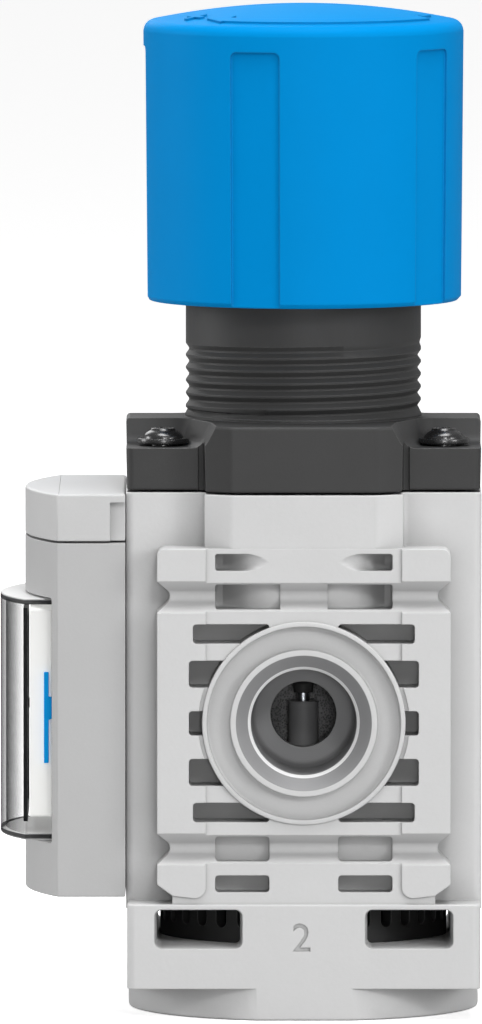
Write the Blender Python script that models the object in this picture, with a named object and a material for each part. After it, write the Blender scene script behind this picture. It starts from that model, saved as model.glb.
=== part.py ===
"""Pressure regulator valve of a compressed air service unit, on a 40 mm grid.

Metres, +Z up. The origin lies on the axis of the knob, at the underside of the base. The outlet port looks
towards -Y, the inlet port towards +Y and the pressure gauge towards -X.
"""

import math

import bmesh
import bpy
from mathutils import Matrix, Vector

MM = 0.001
GAP = 0.25 * MM  # clearance between pieces that seat on or in each other
OVERRUN = 1.0 * MM  # how far a cutter or a joined block runs past the face it meets
ARC_STEPS = 3
TURN_STEPS = 36  # facets of the large round faces
PORT_STEPS = 28
SMALL_STEPS = 16
CASTING_SOLVER = "MANIFOLD"  # the exact one leaves open edges round the ports of the casting

# Casting, in plan
FACE_Y = 20.0 * MM  # half the grid: the port faces
BODY_HALF_WIDTH = 21.0 * MM
CORE_HALF_DEPTH = 14.5 * MM
CORE_CORNER = 1.0 * MM
COLUMN_HALF_WIDTH = 11.7 * MM
COLUMN_FLAT = 8.3 * MM  # half width of the column's flat front, before it bows back
COLUMN_ROOT = 0.7 * MM
BOSS_HEIGHT = 0.05 * MM  # how far the port's boss stands over the pad's ears
EAR_HEIGHT = 0.3 * MM  # how far the ears stand over the pad's middle
COLUMN_SETBACK = 0.1 * MM  # of the column above the pad
EAR_FACE = FACE_Y - BOSS_HEIGHT
PAD_FRONT = EAR_FACE - EAR_HEIGHT
COLUMN_FRONT = PAD_FRONT - COLUMN_SETBACK

# Casting, in height
SKIRT_HEIGHT = 4.0 * MM
SKIRT_INSET = 0.25 * MM  # of the round skirt behind the sides of the base
BASE_TOP = 14.0 * MM
BODY_TOP = 62.1 * MM
PORT_AXIS = 35.2 * MM

# Port pad
PAD_INSET = 3.7 * MM  # from the side of the body
PAD_HALF_HEIGHT = 20.9 * MM
PAD_CORNER = 1.0 * MM
PAD_FOOT_INSET = 1.8 * MM  # of the foot, narrower than the pad
EAR_INNER = 11.55 * MM
EAR_FOOT = 0.8 * MM  # gap between the ears and the base
EAR_FOOT_RUN = 1.9 * MM  # width of the round inner corner of an ear's foot
GROOVE_CENTRE = 14.9 * MM  # from the port axis
GROOVE_HEIGHT = 3.4 * MM
GROOVE_ROOT_HEIGHT = 1.3 * MM
GROOVE_DEPTH = 1.6 * MM
POCKET_DEPTH = 7.0 * MM
POCKET_CORNER = 0.45 * MM
POCKET_INNER = 4.0 * MM
# Outer half width, low and high edge of each cored pocket, measured from the port axis
POCKET_ROWS = (
    (10.45 * MM, 18.0 * MM, 20.0 * MM),
    (10.45 * MM, 13.5 * MM, 16.5 * MM),
    (13.1 * MM, 9.4 * MM, 11.7 * MM),
    (13.6 * MM, 4.2 * MM, 7.4 * MM),
)
SIDE_POCKET_HALF_HEIGHT = 1.4 * MM

# Port
BOSS_RADIUS = 12.0 * MM
BOSS_RIM = 0.55 * MM
SEAL_RING_RADIUS = 8.66 * MM
SEAL_RECESS_DEPTH = 1.2 * MM
CHAMFER_RADIUS = 8.0 * MM
THREAD_RADIUS = 6.6 * MM
BORE_RADIUS = 5.9 * MM
CHAMFER_DEPTH = 1.3 * MM
THREAD_RUN_IN = 1.0 * MM
BORE_DEPTH = 13.1 * MM
PASSAGE_RADIUS = 3.9 * MM
FEED_RADIUS = 3.0 * MM  # drilling that leads the inlet down to the valve chamber
FEED_DROP = 5.0 * MM  # how far it runs down beside that chamber
FEED_OVERLAP = 1.4 * MM  # how far it breaks into it

# Bores on the knob's axis
SKIRT_WALL = 3.5 * MM  # left round the plug
CHAMBER_RADIUS = 8.0 * MM
SEAT_BORE = 6.0 * MM
SEAT_WEB = 3.0 * MM
OUTLET_CHAMBER_RADIUS = 5.2 * MM
OUTLET_CHAMBER_HEIGHT = 8.5 * MM
GUIDE_BORE = 4.0 * MM
DIAPHRAGM_CHAMBER_DEPTH = 5.7 * MM
BEAD_INSET = 4.3 * MM  # of the diaphragm's bead, from the side of the body
BEAD_WIDTH = 2.9 * MM
BEAD_DEPTH = 1.9 * MM

# Base windows
WINDOW_WIDTH = 10.6 * MM
WINDOW_SIGHT = 0.45 * MM  # how far it reaches past the plug's bore
WINDOW_LOW = 8.6 * MM
WINDOW_HIGH = 13.5 * MM
WINDOW_CORNER = 0.8 * MM

# Bonnet
PLATE_THICKNESS = 7.85 * MM
PLATE_DRAFT = 0.15 * MM
SCOOP_DEPTH = 2.9 * MM
SCOOP_REACH = 6.9 * MM  # from the middle of the screw to the middle of the bonnet
SCOOP_START = 4.45 * MM
SCOOP_CORNER = 4.3 * MM
NECK_RADIUS = 13.95 * MM
NECK_WALL = 2.05 * MM
NECK_ROOF = 3.5 * MM
NECK_COLLAR = 0.35 * MM
NECK_UNDERCUT = 0.25 * MM
NECK_CHAMFER = 0.6 * MM
THREAD_LOW = 1.2 * MM  # above the plate
RIB_WIDTH = 2.4 * MM
RIB_HEIGHT = 1.3 * MM
RIB_REACH = 10.0 * MM  # below the spring plate at its highest
PLATE_CAVITY_DEPTH = 3.6 * MM
PLATE_CAVITY_CHAMFER = 1.5 * MM

# Bonnet screws
SCREW_INSET = 4.4 * MM  # from the side of the bonnet
SCREW_Y = 9.1 * MM
SCREW_RADIUS = 1.45 * MM
SCREW_LENGTH = 12.0 * MM
FLANGE_RADIUS = 3.0 * MM
FLANGE_THICKNESS = 0.6 * MM
HEAD_HEIGHT = 1.8 * MM
HEAD_RADIUS = 2.4 * MM
HEAD_FLAT = 1.45 * MM
HEAD_BULGE = 0.12 * MM
STAR_RADIUS = 1.05 * MM
STAR_WAIST = 0.78 * MM
STAR_LOBES = 6
STAR_DEPTH = 1.0 * MM

# Knob
KNOB_LIFT = 13.8 * MM  # of its lower edge over the bonnet plate
KNOB_HEIGHT = 35.1 * MM
KNOB_DRAFT = 0.3 * MM
KNOB_DOME = 1.8 * MM
KNOB_RIM = 1.2 * MM
KNOB_RIM_START = 1.35  # angle at which the rounded rim leaves the dome
KNOB_RIM_INSET = 0.1 * MM
KNOB_WALL = 1.9 * MM
KNOB_ROOF = 4.6 * MM
KNOB_CHAMFER = 0.5 * MM
KNOB_STEPS_PER_FLUTE = 8
FLUTES = 5
FLUTE_WIDTH = 6.1 * MM
FLUTE_DEPTH = 0.3 * MM
FLUTE_END = 4.9 * MM  # below the top of the knob
FLUTE_CORNER = 0.7 * MM
KNOB_SLEEVE_WALL = 1.3 * MM
KNOB_SLEEVE_CLEARANCE = 0.6 * MM  # between the sleeve and the skirt round it
KNOB_LIP_HEIGHT = 0.9 * MM
KNOB_LIP_SLOPE = 0.3 * MM
KNOB_TRAVEL = 3.2 * MM
HUB_RADIUS = 6.6 * MM
HUB_LENGTH = 8.0 * MM
HUB_CLEARANCE = 1.0 * MM
SOCKET_DEPTH = 6.1 * MM

# Knob catch
LOCK_RING_DROP = 4.9 * MM  # below the top of the neck
LOCK_RING_HEIGHT = 0.8 * MM
LOCK_RING_INSET = 0.65 * MM
LOCK_RING_PROUD = 0.4 * MM
LOCK_RING_OPENING = math.radians(24)

# Adjusting screw and spring plate
SPINDLE_RADIUS = 3.0 * MM
SPINDLE_NECK = 4.0 * MM
SPINDLE_COLLAR = 6.5 * MM
COLLAR_THICKNESS = 1.5 * MM
HEX_RADIUS = 3.8 * MM
SPINDLE_REACH = 22.0 * MM
SPINDLE_CHAMFER = 0.5 * MM
HEAD_CLEARANCE = 0.8 * MM  # between the spindle's end and the bottom of the knob's socket
WASHER_RADIUS = 8.0 * MM
WASHER_THICKNESS = 0.8 * MM
NUT_DROP = 1.0 * MM
NUT_PLATE = 2.5 * MM
NUT_BOSS_RADIUS = 5.5 * MM
NUT_BOSS_LENGTH = 5.7 * MM
MAIN_COIL_RADIUS = 8.6 * MM
MAIN_WIRE = 1.15 * MM
MAIN_TURNS = 6.5

# Diaphragm
DIAPHRAGM_THICKNESS = 1.1 * MM
DIAPHRAGM_DROP = 1.7 * MM  # of its middle below the top of the casting
BEAD_HEIGHT = 1.5 * MM
BEAD_FOOT = 0.35 * MM  # how far the bead's foot reaches below the web
WEB_CLEARANCE = 0.5 * MM  # between the web and the chamber's wall
ROLL_CLEARANCE = 0.6 * MM  # between the web's roll and the plate
ROLL_WIDTH = 3.2 * MM  # from the chamber's wall to the diaphragm plate
DIAPHRAGM_PLATE_THICKNESS = 1.5 * MM
DIAPHRAGM_HUB = 2.3 * MM
SPRING_PILOT_HEIGHT = 2.3 * MM
SPRING_PILOT_TAPER = 0.3 * MM
PILOT_HOLLOW_DEPTH = 1.2 * MM
PILOT_RIM = 1.4 * MM
DIAPHRAGM_WASHER_RADIUS = 6.0 * MM
DIAPHRAGM_WASHER_THICKNESS = 1.0 * MM
VALVE_TRAVEL = 1.2 * MM

# Valve
SEAT_OPENING = 3.2 * MM
SEAT_FLANGE_RADIUS = 7.2 * MM
SEAT_FLANGE_THICKNESS = 1.3 * MM
SEAT_LIP = 0.6 * MM
SEAT_LIP_INNER = 0.2 * MM  # edges of the lip, outside the seat's opening
SEAT_LIP_OUTER = 0.5 * MM
SEAT_LIP_FOOT = 0.9 * MM
POST_RADIUS = 1.8 * MM
POST_TOP = 1.1 * MM  # over the port axis
POST_CHAMFER = 0.2 * MM
POPPET_RADIUS = 5.3 * MM
POPPET_FLANGE = 1.8 * MM
POPPET_SEAL_THICKNESS = 2.1 * MM
POPPET_HUB = 2.3 * MM
POPPET_SHANK = 2.6 * MM
POPPET_SHANK_LENGTH = 7.5 * MM
PIN_RADIUS = 0.55 * MM
PIN_INSERTION = 3.3 * MM
GUIDE_MOUTH_WALL = 0.35 * MM  # left round the funnel mouth
GUIDE_MOUTH_DEPTH = 3.0 * MM
GUIDE_FLANGE = 5.0 * MM
GUIDE_FLANGE_THICKNESS = 0.8 * MM
VALVE_COIL_RADIUS = 4.6 * MM
VALVE_WIRE = 0.4 * MM
VALVE_TURNS = 4.5

# Base plug
PLUG_FLOOR = 3.0 * MM
PLUG_CHAMFER = 0.5 * MM
SLEEVE_WALL = 1.7 * MM
SLEEVE_TOP = 13.5 * MM
SLOTS = 36
SLOT_WIDTH = 1.45 * MM
SLOT_BOTTOM = 10.5 * MM
CUP_HEIGHT = 19.0 * MM
CUP_WALL = 1.6 * MM
CUP_FLOOR = 13.2 * MM
PLUG_SEAL_WIDTH = 1.5 * MM
PLUG_SEAL_DEPTH = 0.95 * MM
PLUG_SEAL_HEIGHT = 15.6 * MM
SEAL_BULGE = 0.25 * MM  # how far an O ring's section narrows towards its outside
TUBE_WALL = 0.6 * MM
TUBE_HEIGHT = 4.4 * MM
KEY_INNER = 8.5 * MM
KEY_OUTER = 13.5 * MM
KEY_DEPTH = 1.6 * MM
KEY_SPAN = math.radians(58)
KEYS = 4

# Gauge case
CASE_HALF_WIDTH = 16.0 * MM
CASE_BOTTOM = 14.5 * MM
CASE_DEPTH = 12.0 * MM  # of the bowed front before the side of the body
CASE_BOW = 34.8 * MM
CASE_CORNER = 1.2 * MM
CASE_WALL = 1.6 * MM
CASE_BACK = 1.8 * MM
CAP_HEIGHT = 5.7 * MM
CAP_SLAB = 1.0 * MM
CAP_DROP = 0.1 * MM  # of its top below the top of the casting
CAP_NOTCH = 1.8 * MM
LENS_OPENING_HALF_WIDTH = 14.7 * MM
LENS_OPENING_RISE = 6.0 * MM  # over the bottom of the case
LENS_OPENING_DROP = 6.7 * MM  # below the seam of the cap
LENS_OPENING_DEPTH = 8.0 * MM  # behind the apex of the case

# Gauge window
LENS_HALF_WIDTH = 12.5 * MM
LENS_PROUD = 2.95 * MM  # how far it stands in front of the case
LENS_BOW = 27.5 * MM
LENS_WALL = 0.65 * MM
LENS_CORNER = 0.5 * MM
LENS_FLANGE = 0.8 * MM
LENS_FLANGE_DEPTH = 3.2 * MM  # of its flange behind the corner of its front

# Gauge dial, bezel and needle
DIAL_SETBACK = 0.55 * MM  # of the dial's face behind the corner of the window's front
DIAL_CLEARANCE = 0.65 * MM
DIAL_RISE = 3.5 * MM  # of its lower edge over the opening of the case
DIAL_DEPTH = 5.0 * MM
DIAL_WALL = 1.0 * MM
BEZEL_THICKNESS = 0.5 * MM
BEZEL_WIDTH = 1.1 * MM
BEZEL_OVERHANG = 1.3 * MM
NEEDLE_LENGTH = 8.4 * MM
NEEDLE_TAIL = 2.35 * MM
NEEDLE_POINT = 1.7 * MM  # length of its pointed end
NEEDLE_THICKNESS = 0.3 * MM
NEEDLE_HUB = 1.3 * MM
NEEDLE_HUB_PROUD = 0.1 * MM
NEEDLE_HALF_WIDTH = 0.45 * MM
NEEDLE_REST = math.radians(-45)
ARBOR_RADIUS = 0.6 * MM
ARBOR_LENGTH = 4.0 * MM
MARKER_THICKNESS = 0.35 * MM
MARKER_WIDTH = 0.57 * MM
MARKER_LOW = 29.8 * MM
MARKER_HIGH = 40.6 * MM
MARKER_ARM = 0.5 * MM
MARKER_ARM_LOW = 34.9 * MM
MARKER_ARM_HIGH = 37.7 * MM
MARKER_SETBACK = 1.7 * MM

# Gauge connection
NIPPLE_RADIUS = 2.7 * MM
NIPPLE_BORE = 1.0 * MM
NIPPLE_INSERTION = 3.0 * MM
NIPPLE_COLLAR = 4.2 * MM
NIPPLE_COLLAR_THICKNESS = 1.2 * MM
SIGNAL_RADIUS = 1.5 * MM
GAUGE_SEAL_WIRE = 0.75 * MM
TUBE_COIL_RADIUS = 6.6 * MM
PRESSURE_TUBE_RADIUS = 0.9 * MM
TUBE_SWEEP = math.radians(250)
TUBE_STEPS = 18
TUBE_LEAD = 4  # steps in which it spirals out from the nipple
TUBE_LEAD_SHARE = 0.6

# Sizes and levels that follow from those above
SKIRT_RADIUS = BODY_HALF_WIDTH - SKIRT_INSET
PLUG_BORE = SKIRT_RADIUS - SKIRT_WALL
SCREW_X = BODY_HALF_WIDTH - SCREW_INSET
SCOOP_INNER = SCREW_X - SCOOP_REACH
PAD_HALF_WIDTH = BODY_HALF_WIDTH - PAD_INSET
WINDOW_OUTER = PLUG_BORE + WINDOW_SIGHT
WINDOW_INNER = WINDOW_OUTER - WINDOW_WIDTH
BEAD_RADIUS = BODY_HALF_WIDTH - BEAD_INSET
DIAPHRAGM_CHAMBER_RADIUS = BEAD_RADIUS - BEAD_WIDTH
DIAPHRAGM_PLATE_RADIUS = DIAPHRAGM_CHAMBER_RADIUS - ROLL_WIDTH
PAD_FOOT_HALF_WIDTH = PAD_HALF_WIDTH - PAD_FOOT_INSET
CASE_APEX = BODY_HALF_WIDTH + CASE_DEPTH
CASE_TOP = BODY_TOP - CAP_DROP
CASE_SEAM = CASE_TOP - CAP_HEIGHT
LENS_OPENING_LOW = CASE_BOTTOM + LENS_OPENING_RISE
LENS_OPENING_HIGH = CASE_SEAM - LENS_OPENING_DROP
PLATE_BOTTOM = BODY_TOP + GAP
PLATE_TOP = PLATE_BOTTOM + PLATE_THICKNESS
SCOOP_FLOOR = PLATE_TOP - SCOOP_DEPTH
KNOB_BOTTOM = PLATE_TOP + KNOB_LIFT
KNOB_TOP = KNOB_BOTTOM + KNOB_HEIGHT
KNOB_CEILING = KNOB_TOP - KNOB_ROOF
HUB_BOTTOM = KNOB_CEILING - HUB_LENGTH
NECK_TOP = HUB_BOTTOM - HUB_CLEARANCE
NECK_CEILING = NECK_TOP - NECK_ROOF
NECK_BORE = NECK_RADIUS - NECK_WALL
KNOB_BORE = NECK_RADIUS + LOCK_RING_PROUD + GAP
SLEEVE_RADIUS = KNOB_BORE + KNOB_SLEEVE_WALL
SKIRT_BORE = SLEEVE_RADIUS + KNOB_SLEEVE_CLEARANCE
KNOB_RADIUS = SKIRT_BORE + KNOB_WALL + FLUTE_DEPTH + KNOB_DRAFT
COLLAR_TOP = NECK_CEILING - WASHER_THICKNESS - 2 * GAP
COLLAR_BOTTOM = COLLAR_TOP - COLLAR_THICKNESS
NUT_TOP = COLLAR_BOTTOM - NUT_DROP
NUT_BOTTOM = NUT_TOP - NUT_PLATE
CHAMBER_FLOOR = BODY_TOP - DIAPHRAGM_CHAMBER_DEPTH
DIAPHRAGM_TOP = BODY_TOP - DIAPHRAGM_DROP
DIAPHRAGM_BOTTOM = DIAPHRAGM_TOP - DIAPHRAGM_THICKNESS
DIAPHRAGM_PLATE_BOTTOM = DIAPHRAGM_TOP + GAP
DIAPHRAGM_PLATE_TOP = DIAPHRAGM_PLATE_BOTTOM + DIAPHRAGM_PLATE_THICKNESS
DIAPHRAGM_WASHER_TOP = DIAPHRAGM_BOTTOM - GAP
OUTLET_CHAMBER_TOP = PORT_AXIS + OUTLET_CHAMBER_HEIGHT / 2
SEAT_WEB_TOP = PORT_AXIS - OUTLET_CHAMBER_HEIGHT / 2
CHAMBER_TOP = SEAT_WEB_TOP - SEAT_WEB
SEAT_LIP_BOTTOM = CHAMBER_TOP - GAP - SEAT_FLANGE_THICKNESS - SEAT_LIP
POPPET_SEAL_TOP = SEAT_LIP_BOTTOM - GAP
POPPET_SEAL_BOTTOM = POPPET_SEAL_TOP - POPPET_SEAL_THICKNESS
POPPET_FLANGE_TOP = POPPET_SEAL_BOTTOM - GAP
POPPET_FLANGE_BOTTOM = POPPET_FLANGE_TOP - POPPET_FLANGE
SHANK_BOTTOM = POPPET_FLANGE_BOTTOM - POPPET_SHANK_LENGTH
CASE_X = -(BODY_HALF_WIDTH + GAP)
LENS_APEX = CASE_APEX + LENS_PROUD
LENS_SIDE = LENS_APEX - LENS_BOW + math.sqrt(LENS_BOW ** 2 - LENS_HALF_WIDTH ** 2)
DIAL_FACE = LENS_SIDE - DIAL_SETBACK
DIAL_HALF_WIDTH = LENS_HALF_WIDTH - LENS_WALL - DIAL_CLEARANCE
DIAL_LOW = LENS_OPENING_LOW + DIAL_RISE
DIAL_HIGH = LENS_OPENING_HIGH - GAP - LENS_WALL - DIAL_CLEARANCE
BEZEL_FRONT = DIAL_FACE + GAP + BEZEL_THICKNESS
BEZEL_HALF_WIDTH = math.sqrt((LENS_BOW - LENS_WALL) ** 2 - (BEZEL_FRONT + GAP - LENS_APEX + LENS_BOW) ** 2)
NEEDLE_HEIGHT = (DIAL_LOW + DIAL_HIGH) / 2


def clear_scene():
    """Empties the scene."""
    for old in list(bpy.data.objects):
        bpy.data.objects.remove(old, do_unlink=True)


def material(name, colour, roughness, metallic=0.0, alpha=1.0):
    """A Principled material."""
    made = bpy.data.materials.new(name)
    made.use_nodes = True
    shader = made.node_tree.nodes["Principled BSDF"]
    shader.inputs["Base Color"].default_value = (*colour, 1.0)
    shader.inputs["Roughness"].default_value = roughness
    shader.inputs["Metallic"].default_value = metallic
    shader.inputs["Alpha"].default_value = alpha
    return made


def arc(centre, radius, start, end, steps=ARC_STEPS):
    """Points of an arc from angle start to angle end, both included."""
    angles = [start + (end - start) * i / steps for i in range(steps + 1)]
    return [(centre[0] + radius * math.cos(a), centre[1] + radius * math.sin(a)) for a in angles]


def filleted(corners, steps=ARC_STEPS):
    """Closed outline through (x, y, radius) corners, each rounded as far as its sides allow."""
    points = []
    for i, (x, y, radius) in enumerate(corners):
        here = Vector((x, y))
        before = Vector(corners[i - 1][:2]) - here
        after = Vector(corners[(i + 1) % len(corners)][:2]) - here
        half_angle = before.angle(after) / 2
        reach = min(radius / math.tan(half_angle), 0.49 * before.length, 0.49 * after.length)
        if reach <= 0:
            points.append((x, y))
            continue
        radius = reach * math.tan(half_angle)
        middle = (before.normalized() + after.normalized()).normalized()
        centre = here + middle * radius / math.sin(half_angle)
        first = here + before.normalized() * reach - centre
        turn = math.pi - 2 * half_angle
        turn = turn if before.x * after.y - before.y * after.x < 0 else -turn
        for step in range(steps + 1):
            angle = turn * step / steps
            spoke = Vector((first.x * math.cos(angle) - first.y * math.sin(angle),
                            first.x * math.sin(angle) + first.y * math.cos(angle)))
            points.append(tuple(centre + spoke))
    return points


def hexagon(radius):
    """Outline of a hexagon with its corners at a radius."""
    return arc((0, 0), radius, 0, math.pi * 5 / 3, 5)


def rectangle(low, high, radius=0.0, steps=2):
    """Outline of a rectangle with rounded corners, between two opposite corners."""
    return filleted([(low[0], low[1], radius), (high[0], low[1], radius),
                     (high[0], high[1], radius), (low[0], high[1], radius)], steps)


def as_object(name, bm, finish=None):
    """An object of the mesh being edited, its faces turned outwards and smooth up to its sharp edges."""
    bmesh.ops.recalc_face_normals(bm, faces=bm.faces)
    mesh = bpy.data.meshes.new(name)
    bm.to_mesh(mesh)
    bm.free()
    if finish:
        mesh.materials.append(finish)
    mesh.shade_smooth()
    mesh.set_sharp_from_angle(angle=math.radians(32))
    made = bpy.data.objects.new(name, mesh)
    bpy.context.scene.collection.objects.link(made)
    return made


def loft(name, rings, finish=None):
    """A solid through rings of as many points each, closed at both ends."""
    bm = bmesh.new()
    rows = [[bm.verts.new(point) for point in ring] for ring in rings]
    bm.faces.new(reversed(rows[0]))
    bm.faces.new(rows[-1])
    for low, high in zip(rows, rows[1:]):
        for i in range(len(low)):
            j = (i + 1) % len(low)
            bm.faces.new((low[i], low[j], high[j], high[i]))
    return as_object(name, bm, finish)


def prism(name, outline, low, high, finish=None, axis="Z"):
    """An outline run from low to high: XY points along Z, XZ points along Y, or YZ points along X."""
    bm = bmesh.new()
    along = "XYZ".index(axis)
    across = [i for i in range(3) if i != along]
    verts = []
    for point in outline:
        vert = bm.verts.new()
        vert.co[along] = low
        vert.co[across[0]], vert.co[across[1]] = point
        verts.append(vert)
    run = bmesh.ops.extrude_face_region(bm, geom=[bm.faces.new(verts)])
    for part in run["geom"]:
        if isinstance(part, bmesh.types.BMVert):
            part.co[along] = high
    return as_object(name, bm, finish)


def lathe(name, profile, finish=None, steps=TURN_STEPS, axis="Z"):
    """A profile of (radius, height) points turned about an axis. It is closed, or ends on the axis."""
    bm = bmesh.new()
    points = [bm.verts.new((radius, 0, height)) for radius, height in profile]
    edges = [bm.edges.new(pair) for pair in zip(points, points[1:])]
    if profile[0][0] > 0:
        edges.append(bm.edges.new((points[-1], points[0])))
    bmesh.ops.spin(bm, geom=points + edges, cent=(0, 0, 0), axis=(0, 0, 1), angle=2 * math.pi,
                   steps=steps, use_merge=True)
    bmesh.ops.remove_doubles(bm, verts=bm.verts, dist=1e-7)
    quarter = math.pi / 2
    turns = {"Z": Matrix(), "Y": Matrix.Rotation(quarter, 4, "X"), "-Y": Matrix.Rotation(-quarter, 4, "X"),
             "-X": Matrix.Rotation(-quarter, 4, "Y")}
    bmesh.ops.transform(bm, matrix=turns[axis], verts=bm.verts)
    return as_object(name, bm, finish)


def combine(target, operation, tools, solver="EXACT"):
    """Joins the tools to the target, or cuts them from it, and removes them."""
    for tool in tools:
        tool.hide_render = True
        tool.display_type = "WIRE"
        modifier = target.modifiers.new(tool.name, "BOOLEAN")
        modifier.operation = operation
        modifier.solver = solver
        modifier.object = tool
    graph = bpy.context.evaluated_depsgraph_get()
    mesh = bpy.data.meshes.new_from_object(target.evaluated_get(graph))
    mesh.name = target.name
    target.modifiers.clear()
    target.data = mesh
    for tool in tools:
        bpy.data.objects.remove(tool, do_unlink=True)
    mesh.shade_smooth()
    mesh.set_sharp_from_angle(angle=math.radians(32))
    return target


def join(target, *tools, solver="EXACT"):
    """The union of the target and the tools."""
    return combine(target, "UNION", tools, solver)


def cut(target, *tools, solver="EXACT"):
    """The target less the tools."""
    return combine(target, "DIFFERENCE", tools, solver)


def seat(piece, parent, location=(0, 0, 0)):
    """Hangs a piece on its parent at a location."""
    piece.parent = parent
    piece.location = location
    return piece


def pivot(name, parent=None, location=(0, 0, 0)):
    """An empty that carries the pieces of one moving body."""
    made = bpy.data.objects.new(name, None)
    bpy.context.scene.collection.objects.link(made)
    return seat(made, parent, location)


def tube_along(name, points, radius, finish):
    """A round bar with closed ends, along a run of points."""
    curve = bpy.data.curves.new(name, "CURVE")
    curve.dimensions = "3D"
    curve.bevel_depth = radius
    curve.bevel_resolution = 1
    curve.use_fill_caps = True
    spline = curve.splines.new("POLY")
    spline.points.add(len(points) - 1)
    for place, point in zip(spline.points, points):
        place.co = (*point, 1)
    curve.materials.append(finish)
    made = bpy.data.objects.new(name, curve)
    bpy.context.scene.collection.objects.link(made)
    return made


def coil(name, radius, wire, height, turns, finish, steps_per_turn=10):
    """A compression spring of round wire, its end turns wound close."""
    close = 2 * wire + GAP
    rise = height - 2 * wire - 2 * close
    count = int(turns * steps_per_turn)
    points = []
    for i in range(count + 1):
        turn = turns * i / count
        open_share = min(max((turn - 1) / (turns - 2), 0), 1)
        closed_turns = min(turn, 1) + max(turn - (turns - 1), 0)
        z = wire + close * closed_turns + rise * open_share
        points.append((radius * math.cos(2 * math.pi * turn), radius * math.sin(2 * math.pi * turn), z))
    return tube_along(name, points, wire, finish)


def mirrored_four_ways(quarter):
    """A closed outline from its quarter in +X and -Y."""
    back = [(x, -y) for x, y in reversed(quarter)]
    return quarter + back + [(-x, -y) for x, y in quarter] + [(-x, -y) for x, y in back]


def casting_outline(half_width):
    """Plan of casting and bonnet: a core with rounded corners, and a bowed column on its front and back."""
    bow = math.hypot(COLUMN_FLAT, COLUMN_FRONT)
    start = -math.acos(COLUMN_FLAT / bow)
    end = -math.acos(COLUMN_HALF_WIDTH / bow)
    root = (COLUMN_HALF_WIDTH + COLUMN_ROOT, -CORE_HALF_DEPTH - COLUMN_ROOT)
    corner = (half_width - CORE_CORNER, -CORE_HALF_DEPTH + CORE_CORNER)
    quarter = [(COLUMN_FLAT, -COLUMN_FRONT)] + arc((0, 0), bow, start, end)[1:]
    quarter += arc(root, COLUMN_ROOT, math.pi, math.pi / 2)
    quarter += arc(corner, CORE_CORNER, -math.pi / 2, 0)
    return mirrored_four_ways(quarter)


def mirrored_in_x(outline):
    """The outline on the other side of the YZ plane."""
    return [(-x, z) for x, z in reversed(outline)]


def pad_outline():
    """The pad seen from the front, with a narrower foot."""
    top = PORT_AXIS + PAD_HALF_HEIGHT
    shoulder = BASE_TOP + 1.5 * EAR_FOOT
    return filleted([
        (-PAD_FOOT_HALF_WIDTH, BASE_TOP - OVERRUN, 0), (PAD_FOOT_HALF_WIDTH, BASE_TOP - OVERRUN, 0),
        (PAD_FOOT_HALF_WIDTH, shoulder, 0), (PAD_HALF_WIDTH, shoulder + EAR_FOOT / 2, EAR_FOOT / 4),
        (PAD_HALF_WIDTH, top, PAD_CORNER), (-PAD_HALF_WIDTH, top, PAD_CORNER),
        (-PAD_HALF_WIDTH, shoulder + EAR_FOOT / 2, EAR_FOOT / 4), (-PAD_FOOT_HALF_WIDTH, shoulder, 0)])


def ear_relief_outline():
    """What is taken off the pad's front between its ears and under them."""
    above = PORT_AXIS + PAD_HALF_HEIGHT + OVERRUN
    below = BASE_TOP - 2 * OVERRUN
    outside = PAD_HALF_WIDTH + OVERRUN
    foot = BASE_TOP + EAR_FOOT
    right = [(outside, below, 0), (outside, foot + EAR_FOOT / 2, 0),
             (EAR_INNER + EAR_FOOT_RUN, foot - EAR_FOOT / 2, 0),
             (EAR_INNER, foot + EAR_FOOT_RUN, EAR_FOOT_RUN), (EAR_INNER, above, 0)]
    left = [(-x, z, radius) for x, z, radius in reversed(right)]
    return filleted(right + left)


def groove_profile(surface):
    """Section of the dovetail groove: (place, height) points about the groove's centre, root first."""
    slope = (GROOVE_HEIGHT - GROOVE_ROOT_HEIGHT) / 2
    outside = surface + OVERRUN
    widening = slope * OVERRUN / GROOVE_DEPTH
    upper = [(surface - GROOVE_DEPTH, GROOVE_ROOT_HEIGHT / 3),
             (surface - 0.8 * GROOVE_DEPTH, GROOVE_ROOT_HEIGHT / 2 + 0.3 * slope),
             (outside, GROOVE_HEIGHT / 2 + widening)]
    return upper + [(place, -height) for place, height in reversed(upper)]


def groove_cutters(centre, side):
    """The dovetail groove that runs round the front and both sides of one pad."""
    front = [(side * y, centre + z) for y, z in groove_profile(EAR_FACE)]
    flank = [(x, centre + z) for x, z in groove_profile(PAD_HALF_WIDTH)]
    low, high = sorted((side * (CORE_HALF_DEPTH - 2 * OVERRUN), side * (FACE_Y + 2 * OVERRUN)))
    cutters = [prism("groove", front, -PAD_HALF_WIDTH - 2 * OVERRUN, PAD_HALF_WIDTH + 2 * OVERRUN, axis="X")]
    for outline in (flank, mirrored_in_x(flank)):
        cutters.append(prism("groove_flank", outline, low, high, axis="Y"))
    return cutters


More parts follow.
